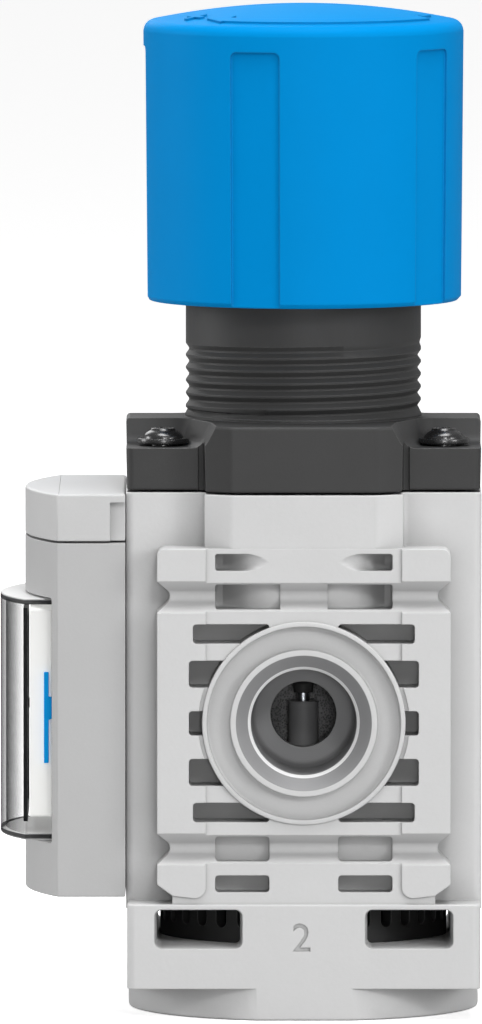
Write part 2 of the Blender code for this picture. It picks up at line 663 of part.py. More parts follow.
def pocket_cutters(side):
    """The cored pockets of one pad, mirrored about the port axis and the YZ plane."""
    near = side * (FACE_Y - POCKET_DEPTH)
    far = side * (FACE_Y + OVERRUN)
    low, high = min(near, far), max(near, far)
    outlines = []
    for half_width, start, end in POCKET_ROWS:
        upper = rectangle((POCKET_INNER, PORT_AXIS + start), (half_width, PORT_AXIS + end), POCKET_CORNER, 1)
        lower = rectangle((POCKET_INNER, PORT_AXIS - end), (half_width, PORT_AXIS - start), POCKET_CORNER, 1)
        outlines += [upper, lower, mirrored_in_x(upper), mirrored_in_x(lower)]
    middle = rectangle((POCKET_INNER, PORT_AXIS - SIDE_POCKET_HALF_HEIGHT),
                       (POCKET_ROWS[-1][0], PORT_AXIS + SIDE_POCKET_HALF_HEIGHT), POCKET_CORNER, 1)
    outlines += [middle, mirrored_in_x(middle)]
    return [prism("pocket", outline, low, high, axis="Y") for outline in outlines]


def port_cutters(side):
    """The bore, its chamfers and the seal recess of one port."""
    axis = "Y" if side < 0 else "-Y"
    bore = lathe("port_bore", [
        (0, FACE_Y + OVERRUN),
        (CHAMFER_RADIUS, FACE_Y + OVERRUN),
        (CHAMFER_RADIUS, FACE_Y),
        (THREAD_RADIUS, FACE_Y - CHAMFER_DEPTH),
        (THREAD_RADIUS, FACE_Y - CHAMFER_DEPTH - THREAD_RUN_IN),
        (BORE_RADIUS, FACE_Y - CHAMFER_DEPTH - 2 * THREAD_RUN_IN),
        (BORE_RADIUS, FACE_Y - BORE_DEPTH),
        (0, FACE_Y - BORE_DEPTH),
    ], steps=PORT_STEPS, axis=axis)
    inner = SEAL_RING_RADIUS
    outer = BOSS_RADIUS - BOSS_RIM
    recess = lathe("seal_recess", [
        (inner, FACE_Y + OVERRUN),
        (outer, FACE_Y + OVERRUN),
        (outer, FACE_Y - SEAL_RECESS_DEPTH),
        (inner, FACE_Y - SEAL_RECESS_DEPTH),
    ], steps=PORT_STEPS, axis=axis)
    for tool in (bore, recess):
        tool.location = (0, 0, PORT_AXIS)
    return [bore, recess]


def axial_bores():
    """Everything bored on the knob's axis, from the diaphragm's seat down to the base plug's bore."""
    return lathe("axial_bores", [
        (0, BODY_TOP + OVERRUN),
        (BEAD_RADIUS, BODY_TOP + OVERRUN),
        (BEAD_RADIUS, BODY_TOP - BEAD_DEPTH),
        (DIAPHRAGM_CHAMBER_RADIUS, BODY_TOP - BEAD_DEPTH),
        (DIAPHRAGM_CHAMBER_RADIUS, CHAMBER_FLOOR),
        (GUIDE_FLANGE + GAP, CHAMBER_FLOOR),
        (GUIDE_FLANGE + GAP, CHAMBER_FLOOR - GUIDE_FLANGE_THICKNESS - GAP),
        (GUIDE_BORE, CHAMBER_FLOOR - GUIDE_FLANGE_THICKNESS - GAP),
        (GUIDE_BORE, OUTLET_CHAMBER_TOP),
        (OUTLET_CHAMBER_RADIUS, OUTLET_CHAMBER_TOP),
        (OUTLET_CHAMBER_RADIUS, SEAT_WEB_TOP),
        (SEAT_OPENING + GAP, SEAT_WEB_TOP),
        (SEAT_OPENING + GAP, SEAT_WEB_TOP - GAP),
        (SEAT_BORE, SEAT_WEB_TOP - GAP),
        (SEAT_BORE, CHAMBER_TOP),
        (CHAMBER_RADIUS, CHAMBER_TOP),
        (CHAMBER_RADIUS, BASE_TOP),
        (PLUG_BORE, BASE_TOP - GAP),
        (PLUG_BORE, -OVERRUN),
        (0, -OVERRUN),
    ])


def passages():
    """Drillings between the ports and the chambers, and the signal bore of the gauge."""
    reach = FACE_Y - BORE_DEPTH
    outlet = lathe("outlet_passage", [(0, reach + OVERRUN), (PASSAGE_RADIUS, reach + OVERRUN),
                                      (PASSAGE_RADIUS, 0), (0, 0)], steps=PORT_STEPS, axis="Y")
    outlet.location = (0, 0, PORT_AXIS)
    foot = CHAMBER_TOP - FEED_DROP
    feed = lathe("inlet_feed", [(0, PORT_AXIS), (FEED_RADIUS, PORT_AXIS), (FEED_RADIUS, foot), (0, foot)],
                 steps=SMALL_STEPS)
    feed.location = (0, CHAMBER_RADIUS + FEED_RADIUS - FEED_OVERLAP, 0)
    signal = lathe("signal_bore", [
        (0, BODY_HALF_WIDTH + OVERRUN),
        (NIPPLE_RADIUS + GAP, BODY_HALF_WIDTH + OVERRUN),
        (NIPPLE_RADIUS + GAP, BODY_HALF_WIDTH - NIPPLE_INSERTION - GAP),
        (SIGNAL_RADIUS, BODY_HALF_WIDTH - NIPPLE_INSERTION - GAP),
        (SIGNAL_RADIUS, 0),
        (0, 0),
    ], steps=SMALL_STEPS, axis="-X")
    signal.location = (0, 0, PORT_AXIS)
    return [outlet, feed, signal]


def screw_places():
    """Centres of the four bonnet screws."""
    return [(x, y) for x in (-SCREW_X, SCREW_X) for y in (-SCREW_Y, SCREW_Y)]


def screw_holes(name, low, high):
    """Clearance holes for the bonnet screws."""
    radius = SCREW_RADIUS + GAP
    holes = []
    for x, y in screw_places():
        hole = lathe(name, [(0, high), (radius, high), (radius, low), (0, low)], steps=SMALL_STEPS)
        hole.location = (x, y, 0)
        holes.append(hole)
    return holes


def window_cutters():
    """The two exhaust windows, straight through the base."""
    outline = rectangle((WINDOW_INNER, WINDOW_LOW), (WINDOW_OUTER, WINDOW_HIGH), WINDOW_CORNER)
    return [prism("window", shape, -FACE_Y - OVERRUN, FACE_Y + OVERRUN, axis="Y")
            for shape in (outline, mirrored_in_x(outline))]


def base_blocks():
    """The square base and the round skirt under it, cut flat at the port faces."""
    base = prism("base", rectangle((-BODY_HALF_WIDTH, -FACE_Y), (BODY_HALF_WIDTH, FACE_Y), CORE_CORNER),
                 SKIRT_HEIGHT, BASE_TOP)
    reach = math.asin(min(FACE_Y / SKIRT_RADIUS, 1))
    right = arc((0, 0), SKIRT_RADIUS, -reach, reach, 16)
    left = [(-x, -y) for x, y in right]
    return [base, prism("skirt", right + left, 0, SKIRT_HEIGHT + OVERRUN)]


def port_pad(side):
    """The pad of one port: raised ears at both sides of its middle, and two dovetail grooves."""
    root = side * (CORE_HALF_DEPTH - OVERRUN)
    pad = prism("pad", pad_outline(), *sorted((root, side * EAR_FACE)), axis="Y")
    low, high = sorted((side * PAD_FRONT, side * (FACE_Y + OVERRUN)))
    relief = prism("ear_relief", ear_relief_outline(), low, high, axis="Y")
    grooves = [cutter for offset in (-GROOVE_CENTRE, GROOVE_CENTRE)
               for cutter in groove_cutters(PORT_AXIS + offset, side)]
    return cut(pad, relief, *grooves)


def boss(side):
    """The round boss of one port, run back into the core."""
    axis = "Y" if side < 0 else "-Y"
    back = FACE_Y - POCKET_DEPTH - OVERRUN
    made = lathe("boss", [(0, FACE_Y), (BOSS_RADIUS, FACE_Y), (BOSS_RADIUS, back), (0, back)],
                 steps=PORT_STEPS, axis=axis)
    made.location = (0, 0, PORT_AXIS)
    return made


def build_housing(root, finish):
    """Die cast body with two port pads, the base and all its bores."""
    housing = prism("housing", casting_outline(BODY_HALF_WIDTH), BASE_TOP - OVERRUN, BODY_TOP, finish)
    join(housing, *base_blocks(), port_pad(-1), port_pad(1), solver=CASTING_SOLVER)
    cut(housing, *pocket_cutters(-1), *pocket_cutters(1), solver=CASTING_SOLVER)
    join(housing, boss(-1), boss(1), solver=CASTING_SOLVER)
    cut(housing, *port_cutters(-1), *port_cutters(1), axial_bores(), *passages(), *window_cutters(),
        *screw_holes("screw_hole", BODY_TOP - SCREW_LENGTH, BODY_TOP + OVERRUN), solver=CASTING_SOLVER)
    return seat(housing, root)


def scoop_cutter(sign_x, sign_y):
    """The hollow in the bonnet plate round one screw: a round floor edge, and a round corner in plan."""
    outer_x = BODY_HALF_WIDTH + OVERRUN
    outer_y = FACE_Y + OVERRUN
    above = PLATE_TOP + OVERRUN
    fall = arc((SCOOP_INNER + SCOOP_DEPTH, PLATE_TOP), SCOOP_DEPTH, math.pi, 1.5 * math.pi, 4)
    side_view = [(SCOOP_INNER, above)] + fall + [(outer_x, SCOOP_FLOOR), (outer_x, above)]
    plan = filleted([(SCOOP_INNER, SCOOP_START, SCOOP_CORNER), (outer_x + OVERRUN, SCOOP_START, 0),
                     (outer_x + OVERRUN, outer_y, 0), (SCOOP_INNER, outer_y, 0)], steps=4)
    low, high = sorted((0, sign_y * outer_y))
    scoop = prism("scoop", [(sign_x * x, z) for x, z in side_view], low, high, axis="Y")
    corner = prism("scoop_plan", [(sign_x * x, sign_y * y) for x, y in plan],
                   SCOOP_FLOOR - OVERRUN, above + OVERRUN)
    return combine(scoop, "INTERSECT", [corner])


def build_bonnet(root, finish):
    """Black cover of the spring: plate with four screw scoops, and threaded neck with a closed top."""
    rings = [[(x, y, z) for x, y in casting_outline(BODY_HALF_WIDTH - draft)]
             for z, draft in ((PLATE_BOTTOM, PLATE_DRAFT), (PLATE_TOP, 0))]
    bonnet = loft("bonnet", rings, finish)
    cut(bonnet, *[scoop_cutter(x, y) for x in (-1, 1) for y in (-1, 1)])
    thread_low = PLATE_TOP + THREAD_LOW
    ring_low = NECK_TOP - LOCK_RING_DROP - GAP
    ring_high = ring_low + LOCK_RING_HEIGHT + 2 * GAP
    ring_floor = NECK_RADIUS - LOCK_RING_INSET - GAP
    neck = lathe("neck", [
        (0, NECK_TOP),
        (NECK_RADIUS - NECK_CHAMFER, NECK_TOP),
        (NECK_RADIUS, NECK_TOP - NECK_CHAMFER),
        (NECK_RADIUS, ring_high),
        (ring_floor, ring_high),
        (ring_floor, ring_low),
        (NECK_RADIUS, ring_low),
        (NECK_RADIUS, thread_low),
        (NECK_RADIUS - NECK_UNDERCUT, thread_low),
        (NECK_RADIUS - NECK_UNDERCUT, PLATE_TOP + 2 * NECK_COLLAR),
        (NECK_RADIUS + NECK_COLLAR, PLATE_TOP + NECK_COLLAR),
        (NECK_RADIUS + NECK_COLLAR, PLATE_TOP - SCOOP_DEPTH),
        (0, PLATE_TOP - SCOOP_DEPTH),
    ])
    join(bonnet, neck)
    bore = lathe("bonnet_bore", [
        (0, NECK_CEILING),
        (NECK_BORE, NECK_CEILING),
        (NECK_BORE, PLATE_BOTTOM + PLATE_CAVITY_DEPTH),
        (DIAPHRAGM_CHAMBER_RADIUS - PLATE_CAVITY_CHAMFER, PLATE_BOTTOM + PLATE_CAVITY_DEPTH),
        (DIAPHRAGM_CHAMBER_RADIUS, PLATE_BOTTOM + PLATE_CAVITY_DEPTH - PLATE_CAVITY_CHAMFER),
        (DIAPHRAGM_CHAMBER_RADIUS, PLATE_BOTTOM - OVERRUN),
        (0, PLATE_BOTTOM - OVERRUN),
    ])
    hole = lathe("spindle_hole", [(0, NECK_TOP + OVERRUN), (SPINDLE_NECK + GAP, NECK_TOP + OVERRUN),
                                  (SPINDLE_NECK + GAP, NECK_CEILING - OVERRUN), (0, NECK_CEILING - OVERRUN)],
                 steps=SMALL_STEPS)
    cut(bonnet, bore, hole, *screw_holes("screw_hole", PLATE_BOTTOM - OVERRUN, PLATE_TOP + OVERRUN))
    near = NECK_BORE - RIB_HEIGHT
    far = NECK_BORE + OVERRUN
    for low, high in ((-far, -near), (near, far)):
        join(bonnet, prism("rib", rectangle((-RIB_WIDTH / 2, low), (RIB_WIDTH / 2, high)),
                           NUT_BOTTOM - RIB_REACH, NECK_CEILING + OVERRUN))
    return seat(bonnet, root)


def build_screws(root, finish):
    """Four flanged dome head screws with a star recess, sharing one mesh."""
    top = HEAD_HEIGHT
    first = lathe("bonnet_screw_1", [
        (0, top),
        (HEAD_FLAT, top),
        ((HEAD_FLAT + HEAD_RADIUS) / 2 + HEAD_BULGE, (FLANGE_THICKNESS + top) / 2 + HEAD_BULGE),
        (HEAD_RADIUS, FLANGE_THICKNESS),
        (FLANGE_RADIUS, FLANGE_THICKNESS),
        (FLANGE_RADIUS, 0),
        (SCREW_RADIUS, 0),
        (SCREW_RADIUS, -SCREW_LENGTH),
        (0, -SCREW_LENGTH),
    ], finish, steps=SMALL_STEPS)
    star = []
    for i in range(2 * STAR_LOBES):
        radius = STAR_RADIUS if i % 2 else STAR_WAIST
        angle = math.pi * i / STAR_LOBES
        star.append((radius * math.cos(angle), radius * math.sin(angle)))
    cut(first, prism("star", star, top - STAR_DEPTH, top + OVERRUN))
    for number, (x, y) in enumerate(screw_places(), 1):
        name = f"bonnet_screw_{number}"
        screw = first if number == 1 else bpy.data.objects.new(name, first.data)
        if number > 1:
            bpy.context.scene.collection.objects.link(screw)
        seat(screw, root, (x, y, SCOOP_FLOOR + GAP))


def knob_radius(height):
    """Outside radius of the knob at a height over its lower edge."""
    return KNOB_RADIUS - KNOB_DRAFT * (1 - height / KNOB_HEIGHT)


def flute_cutter(angle):
    """One shallow flute, wrapped round the knob and open at its lower end."""
    high = KNOB_HEIGHT - FLUTE_END
    half = FLUTE_WIDTH / 2
    flat = filleted([(-half, -OVERRUN, 0), (0, -OVERRUN, 0), (half, -OVERRUN, 0),
                     (half, high, FLUTE_CORNER), (0, high, 0), (-half, high, FLUTE_CORNER)], steps=3)
    rings = []
    for outwards in (-FLUTE_DEPTH, OVERRUN):
        ring = []
        for across, height in flat:
            turn = angle + across / KNOB_RADIUS
            radius = knob_radius(height) + outwards
            ring.append((radius * math.cos(turn), radius * math.sin(turn), height))
        rings.append(ring)
    return loft("flute", rings)


def knob_outside():
    """Profile of the knob's outside, from the top of its dome down to its lower edge."""
    span = KNOB_RADIUS - KNOB_RIM
    radius = (span ** 2 + KNOB_DOME ** 2) / (2 * KNOB_DOME)
    rise = math.asin(span / radius)
    dome = arc((0, KNOB_HEIGHT - radius), radius, math.pi / 2, math.pi / 2 - rise, 5)
    rim = arc((span - KNOB_RIM_INSET, KNOB_HEIGHT - KNOB_DOME - KNOB_RIM), KNOB_RIM, KNOB_RIM_START, 0, 3)
    foot = [(knob_radius(KNOB_CHAMFER), KNOB_CHAMFER), (knob_radius(0) - KNOB_CHAMFER, 0)]
    return [(0, KNOB_HEIGHT)] + dome[1:] + rim + foot


def build_knob(parent, finish):
    """Rotary knob: fluted skirt, domed top, inner sleeve with a snap lip, and hexagon hub."""
    ceiling = KNOB_CEILING - KNOB_BOTTOM
    hub_low = HUB_BOTTOM - KNOB_BOTTOM
    lip_top = NECK_TOP - LOCK_RING_DROP - KNOB_BOTTOM - KNOB_TRAVEL - 2 * GAP
    lip_low = lip_top - KNOB_LIP_HEIGHT
    knob = lathe("knob", knob_outside() + [
        (SKIRT_BORE, 0),
        (SKIRT_BORE, ceiling),
        (SLEEVE_RADIUS, ceiling),
        (SLEEVE_RADIUS, lip_low),
        (NECK_RADIUS + GAP, lip_low),
        (NECK_RADIUS + GAP, lip_top),
        (KNOB_BORE, lip_top + KNOB_LIP_SLOPE),
        (KNOB_BORE, ceiling),
        (HUB_RADIUS, ceiling),
        (HUB_RADIUS, hub_low),
        (0, hub_low),
    ], finish, steps=KNOB_STEPS_PER_FLUTE * FLUTES)
    flutes = [flute_cutter(-math.pi + 2 * math.pi * i / FLUTES) for i in range(FLUTES)]
    socket = prism("socket", hexagon(HEX_RADIUS + GAP), hub_low - OVERRUN, hub_low + SOCKET_DEPTH)
    cut(knob, socket, *flutes)
    return seat(knob, parent, (0, 0, KNOB_BOTTOM))


def build_lock_ring(root, finish):
    """Split spring ring in the neck's groove, under which the knob's lip catches."""
    inner = NECK_RADIUS - LOCK_RING_INSET
    outer = NECK_RADIUS + LOCK_RING_PROUD
    start = LOCK_RING_OPENING / 2
    end = 2 * math.pi - start
    outline = arc((0, 0), outer, start, end, TURN_STEPS) + arc((0, 0), inner, end, start, TURN_STEPS)
    ring = prism("lock_ring", outline, 0, LOCK_RING_HEIGHT, finish)
    return seat(ring, root, (0, 0, NECK_TOP - LOCK_RING_DROP))


def build_adjuster(adjuster, root, steel, brass):
    """Spindle with its thrust collar, the washer over it and the travelling spring plate."""
    reach = COLLAR_BOTTOM - SPINDLE_REACH
    head_top = HUB_BOTTOM + SOCKET_DEPTH - HEAD_CLEARANCE
    spindle = lathe("spindle", [
        (0, NECK_TOP + GAP),
        (SPINDLE_NECK, NECK_TOP + GAP),
        (SPINDLE_NECK, COLLAR_TOP),
        (SPINDLE_COLLAR, COLLAR_TOP),
        (SPINDLE_COLLAR, COLLAR_BOTTOM),
        (SPINDLE_RADIUS, COLLAR_BOTTOM),
        (SPINDLE_RADIUS, reach + SPINDLE_CHAMFER),
        (SPINDLE_RADIUS - SPINDLE_CHAMFER, reach),
        (0, reach),
    ], steel, steps=SMALL_STEPS)
    join(spindle, prism("head", hexagon(HEX_RADIUS), NECK_TOP - OVERRUN, head_top))
    seat(spindle, adjuster)
    washer = lathe("thrust_washer", [
        (SPINDLE_NECK + GAP, COLLAR_TOP + GAP), (WASHER_RADIUS, COLLAR_TOP + GAP),
        (WASHER_RADIUS, COLLAR_TOP + GAP + WASHER_THICKNESS),
        (SPINDLE_NECK + GAP, COLLAR_TOP + GAP + WASHER_THICKNESS),
    ], brass, steps=SMALL_STEPS)
    seat(washer, root)


def build_spring_plate(parent, finish):
    """Travelling nut that presses the main spring, notched for the bonnet's ribs."""
    plate = lathe("spring_plate", [
        (SPINDLE_RADIUS + GAP, NUT_PLATE),
        (NECK_BORE - GAP, NUT_PLATE),
        (NECK_BORE - GAP, 0),
        (NUT_BOSS_RADIUS, 0),
        (NUT_BOSS_RADIUS, -NUT_BOSS_LENGTH),
        (SPINDLE_RADIUS + GAP, -NUT_BOSS_LENGTH),
    ], finish, steps=SMALL_STEPS)
    half = RIB_WIDTH / 2 + GAP
    near = NECK_BORE - RIB_HEIGHT - GAP
    far = NECK_BORE + OVERRUN
    for low, high in ((-far, -near), (near, far)):
        cut(plate, prism("notch", rectangle((-half, low), (half, high)), -OVERRUN, NUT_PLATE + OVERRUN))
    return seat(plate, parent, (0, 0, NUT_BOTTOM))


def build_main_spring(root, finish):
    """Range spring between the diaphragm plate and the travelling nut."""
    low = DIAPHRAGM_PLATE_TOP + GAP
    height = NUT_BOTTOM - GAP - low
    spring = coil("main_spring", MAIN_COIL_RADIUS, MAIN_WIRE, height, MAIN_TURNS, finish)
    return seat(spring, root, (0, 0, low))


def build_diaphragm(root, rubber):
    """Moulded diaphragm: a bead clamped under the bonnet, a rolled web and a flat middle."""
    bead_out = BEAD_RADIUS - GAP
    bead_in = DIAPHRAGM_CHAMBER_RADIUS + WEB_CLEARANCE
    bead_low = BODY_TOP - BEAD_DEPTH + GAP
    bead_top = bead_low + BEAD_HEIGHT
    web_out = DIAPHRAGM_CHAMBER_RADIUS - WEB_CLEARANCE
    web_in = DIAPHRAGM_PLATE_RADIUS + ROLL_CLEARANCE
    hole = DIAPHRAGM_HUB + GAP
    diaphragm = lathe("diaphragm", [
        (bead_out, bead_low),
        (bead_out, bead_top),
        (web_out, bead_top),
        ((web_out + web_in) / 2, (bead_top + DIAPHRAGM_TOP) / 2),
        (web_in, DIAPHRAGM_TOP),
        (hole, DIAPHRAGM_TOP),
        (hole, DIAPHRAGM_BOTTOM),
        (web_in, DIAPHRAGM_BOTTOM),
        (web_out, bead_low + BEAD_FOOT),
        (bead_in, bead_low + BEAD_FOOT),
        (bead_in, bead_low),
    ], rubber, steps=PORT_STEPS)
    return seat(diaphragm, root)


def build_diaphragm_plate(parent, aluminium, brass):
    """Plate over the diaphragm that carries the main spring, and the relief seat riveted under it."""
    hub_bottom = DIAPHRAGM_WASHER_TOP - DIAPHRAGM_WASHER_THICKNESS
    pilot = MAIN_COIL_RADIUS - MAIN_WIRE - GAP
    pilot_top = DIAPHRAGM_PLATE_TOP + SPRING_PILOT_HEIGHT
    plate = lathe("diaphragm_plate", [
        (0, pilot_top - PILOT_HOLLOW_DEPTH),
        (pilot - PILOT_RIM, pilot_top - PILOT_HOLLOW_DEPTH),
        (pilot - PILOT_RIM, pilot_top),
        (pilot - SPRING_PILOT_TAPER, pilot_top),
        (pilot, DIAPHRAGM_PLATE_TOP),
        (DIAPHRAGM_PLATE_RADIUS, DIAPHRAGM_PLATE_TOP),
        (DIAPHRAGM_PLATE_RADIUS, DIAPHRAGM_PLATE_BOTTOM),
        (DIAPHRAGM_HUB, DIAPHRAGM_PLATE_BOTTOM),
        (DIAPHRAGM_HUB, hub_bottom),
        (0, hub_bottom),
    ], aluminium, steps=SMALL_STEPS)
    seat(plate, parent)
    washer = lathe("diaphragm_washer", [
        (DIAPHRAGM_HUB + GAP, DIAPHRAGM_WASHER_TOP),
        (DIAPHRAGM_WASHER_RADIUS, DIAPHRAGM_WASHER_TOP),
        (DIAPHRAGM_WASHER_RADIUS, hub_bottom),
        (DIAPHRAGM_HUB + GAP, hub_bottom),
    ], brass, steps=SMALL_STEPS)
    seat(washer, parent)


def build_stem_guide(root, finish):
    """Guide bush of the valve pin, with a funnel mouth towards the outlet chamber."""
    low = OUTLET_CHAMBER_TOP
    outer = GUIDE_BORE - GAP
    flange_low = CHAMBER_FLOOR - GUIDE_FLANGE_THICKNESS
    bore = PIN_RADIUS + GAP
    guide = lathe("stem_guide", [
        (bore, CHAMBER_FLOOR),
        (GUIDE_FLANGE, CHAMBER_FLOOR),
        (GUIDE_FLANGE, flange_low),
        (outer, flange_low),
        (outer, low),
        (outer - GUIDE_MOUTH_WALL, low),
        (bore, low + GUIDE_MOUTH_DEPTH),
    ], finish, steps=SMALL_STEPS)
    return seat(guide, root)


def build_valve_seat(root, finish):
    """Pressed in seat with a narrow sealing lip."""
    outer = SEAT_BORE - GAP
    flange_top = CHAMBER_TOP - GAP
    flange_low = flange_top - SEAT_FLANGE_THICKNESS
    ring = lathe("valve_seat", [
        (SEAT_OPENING, SEAT_WEB_TOP - 2 * GAP),
        (outer, SEAT_WEB_TOP - 2 * GAP),
        (outer, flange_top),
        (SEAT_FLANGE_RADIUS, flange_top),
        (SEAT_FLANGE_RADIUS, flange_low),
        (SEAT_OPENING + SEAT_LIP_FOOT, flange_low),
        (SEAT_OPENING + SEAT_LIP_OUTER, SEAT_LIP_BOTTOM),
        (SEAT_OPENING + SEAT_LIP_INNER, SEAT_LIP_BOTTOM),
        (SEAT_OPENING, flange_low),
    ], finish, steps=SMALL_STEPS)
    return seat(ring, root)


def build_valve(parent, plastic, rubber, steel):
    """Poppet with its guide post, the seal round it and the pin that the diaphragm pushes."""
    post_top = PORT_AXIS + POST_TOP
    pin_low = post_top - PIN_INSERTION
    poppet = lathe("poppet", [
        (0, post_top),
        (POST_RADIUS - POST_CHAMFER, post_top),
        (POST_RADIUS, post_top - POST_CHAMFER),
        (POST_RADIUS, POPPET_SEAL_TOP),
        (POPPET_HUB, POPPET_SEAL_TOP),
        (POPPET_HUB, POPPET_FLANGE_TOP),
        (POPPET_RADIUS, POPPET_FLANGE_TOP),
        (POPPET_RADIUS, POPPET_FLANGE_BOTTOM),
        (POPPET_SHANK, POPPET_FLANGE_BOTTOM),
        (POPPET_SHANK, SHANK_BOTTOM),
        (0, SHANK_BOTTOM),
    ], plastic, steps=SMALL_STEPS)
    cut(poppet, lathe("pin_hole", [(0, post_top + OVERRUN), (PIN_RADIUS + GAP, post_top + OVERRUN),
                                   (PIN_RADIUS + GAP, pin_low - GAP), (0, pin_low - GAP)], steps=12))
    seat(poppet, parent)
    seal = lathe("poppet_seal", [
        (POPPET_HUB + GAP, POPPET_SEAL_BOTTOM), (POPPET_RADIUS, POPPET_SEAL_BOTTOM),
        (POPPET_RADIUS, POPPET_SEAL_TOP), (POPPET_HUB + GAP, POPPET_SEAL_TOP),
    ], rubber, steps=SMALL_STEPS)
    seat(seal, parent)
    pin_top = DIAPHRAGM_WASHER_TOP - DIAPHRAGM_WASHER_THICKNESS - GAP
    pin = lathe("valve_pin", [(0, pin_top), (PIN_RADIUS, pin_top), (PIN_RADIUS, pin_low), (0, pin_low)],
                steel, steps=12)
    seat(pin, parent)


def key_recess(angle):
    """One of the recesses under the plug that a pin key turns it by."""
    outline = arc((0, 0), KEY_OUTER, angle - KEY_SPAN / 2, angle + KEY_SPAN / 2, 7)
    outline += arc((0, 0), KEY_INNER, angle + KEY_SPAN / 2, angle - KEY_SPAN / 2, 7)
    return prism("key_recess", outline, -OVERRUN, KEY_DEPTH)


def sleeve_slots():
    """Slots with round bottoms, open at the top of the sleeve."""
    half = SLOT_WIDTH / 2
    outer = PLUG_BORE + OVERRUN
    inner = PLUG_BORE - GAP - SLEEVE_WALL - OVERRUN
    foot = arc((0, SLOT_BOTTOM + half), half, math.pi, 2 * math.pi, 3)
    outline = foot + [(half, SLEEVE_TOP + OVERRUN), (-half, SLEEVE_TOP + OVERRUN)]
    slots = []
    for i in range(SLOTS):
        slot = prism("slot", outline, inner, outer, axis="Y")
        slot.rotation_euler = (0, 0, 2 * math.pi * (i + 0.5) / SLOTS)
        slots.append(slot)
    return slots


def build_base_plug(root, plastic, rubber):
    """Plug with the slotted sleeve in the base windows, the cup of the valve spring and its O ring."""
    outer = PLUG_BORE - GAP
    sleeve_in = outer - SLEEVE_WALL
    cup_out = CHAMBER_RADIUS - GAP
    cup_in = cup_out - CUP_WALL
    groove = cup_out - PLUG_SEAL_DEPTH
    seal_top = PLUG_SEAL_HEIGHT + PLUG_SEAL_WIDTH
    tube_in = POPPET_SHANK + GAP
    well = SHANK_BOTTOM - VALVE_TRAVEL - 2 * GAP
    plug = lathe("base_plug", [
        (0, 0),
        (outer - PLUG_CHAMFER, 0),
        (outer, PLUG_CHAMFER),
        (outer, SLEEVE_TOP),
        (sleeve_in, SLEEVE_TOP),
        (sleeve_in, PLUG_FLOOR),
        (cup_out, PLUG_FLOOR),
        (cup_out, PLUG_SEAL_HEIGHT),
        (groove, PLUG_SEAL_HEIGHT),
        (groove, seal_top),
        (cup_out, seal_top),
        (cup_out, CUP_HEIGHT),
        (cup_in, CUP_HEIGHT),
        (cup_in, CUP_FLOOR),
        (tube_in + TUBE_WALL, CUP_FLOOR),
        (tube_in + TUBE_WALL, CUP_FLOOR + TUBE_HEIGHT),
        (tube_in, CUP_FLOOR + TUBE_HEIGHT),
        (tube_in, well),
        (0, well),
    ], plastic, steps=SLOTS)
    keys = [key_recess(2 * math.pi * i / KEYS) for i in range(KEYS)]
    cut(plug, *keys, *sleeve_slots())
    seat(plug, root)
    seal = lathe("plug_seal", [
        (groove + GAP / 2, PLUG_SEAL_HEIGHT + GAP / 2),
        (CHAMBER_RADIUS - GAP / 2, PLUG_SEAL_HEIGHT + GAP / 2 + SEAL_BULGE),
        (CHAMBER_RADIUS - GAP / 2, seal_top - GAP / 2 - SEAL_BULGE),
        (groove + GAP / 2, seal_top - GAP / 2),
    ], rubber, steps=SMALL_STEPS)
    seat(seal, root)
    return plug


def build_valve_spring(root, finish):
    """Closing spring of the poppet, round the plug's guide tube."""
    low = CUP_FLOOR + GAP
    height = POPPET_FLANGE_BOTTOM - GAP - low
    return seat(coil("valve_spring", VALVE_COIL_RADIUS, VALVE_WIRE, height, VALVE_TURNS, finish),
                root, (0, 0, low))


def bowed_outline(half_width, apex, bow, back, corner, inset=0.0):
    """Plan of a box with a bowed front towards -X, from its apex back to a flat plane."""
    half_width -= inset
    bow -= inset
    apex -= inset
    centre = -(apex - bow)
    reach = math.asin(min(half_width / bow, 1))
    front = arc((centre, 0), bow, math.pi - reach, math.pi + reach, 12)
    outline = [(x, y, 0) for x, y in front]
    outline[0] = (*front[0], corner)
    outline[-1] = (*front[-1], corner)
    return filleted([(back, half_width, 0)] + outline + [(back, -half_width, 0)], steps=3)


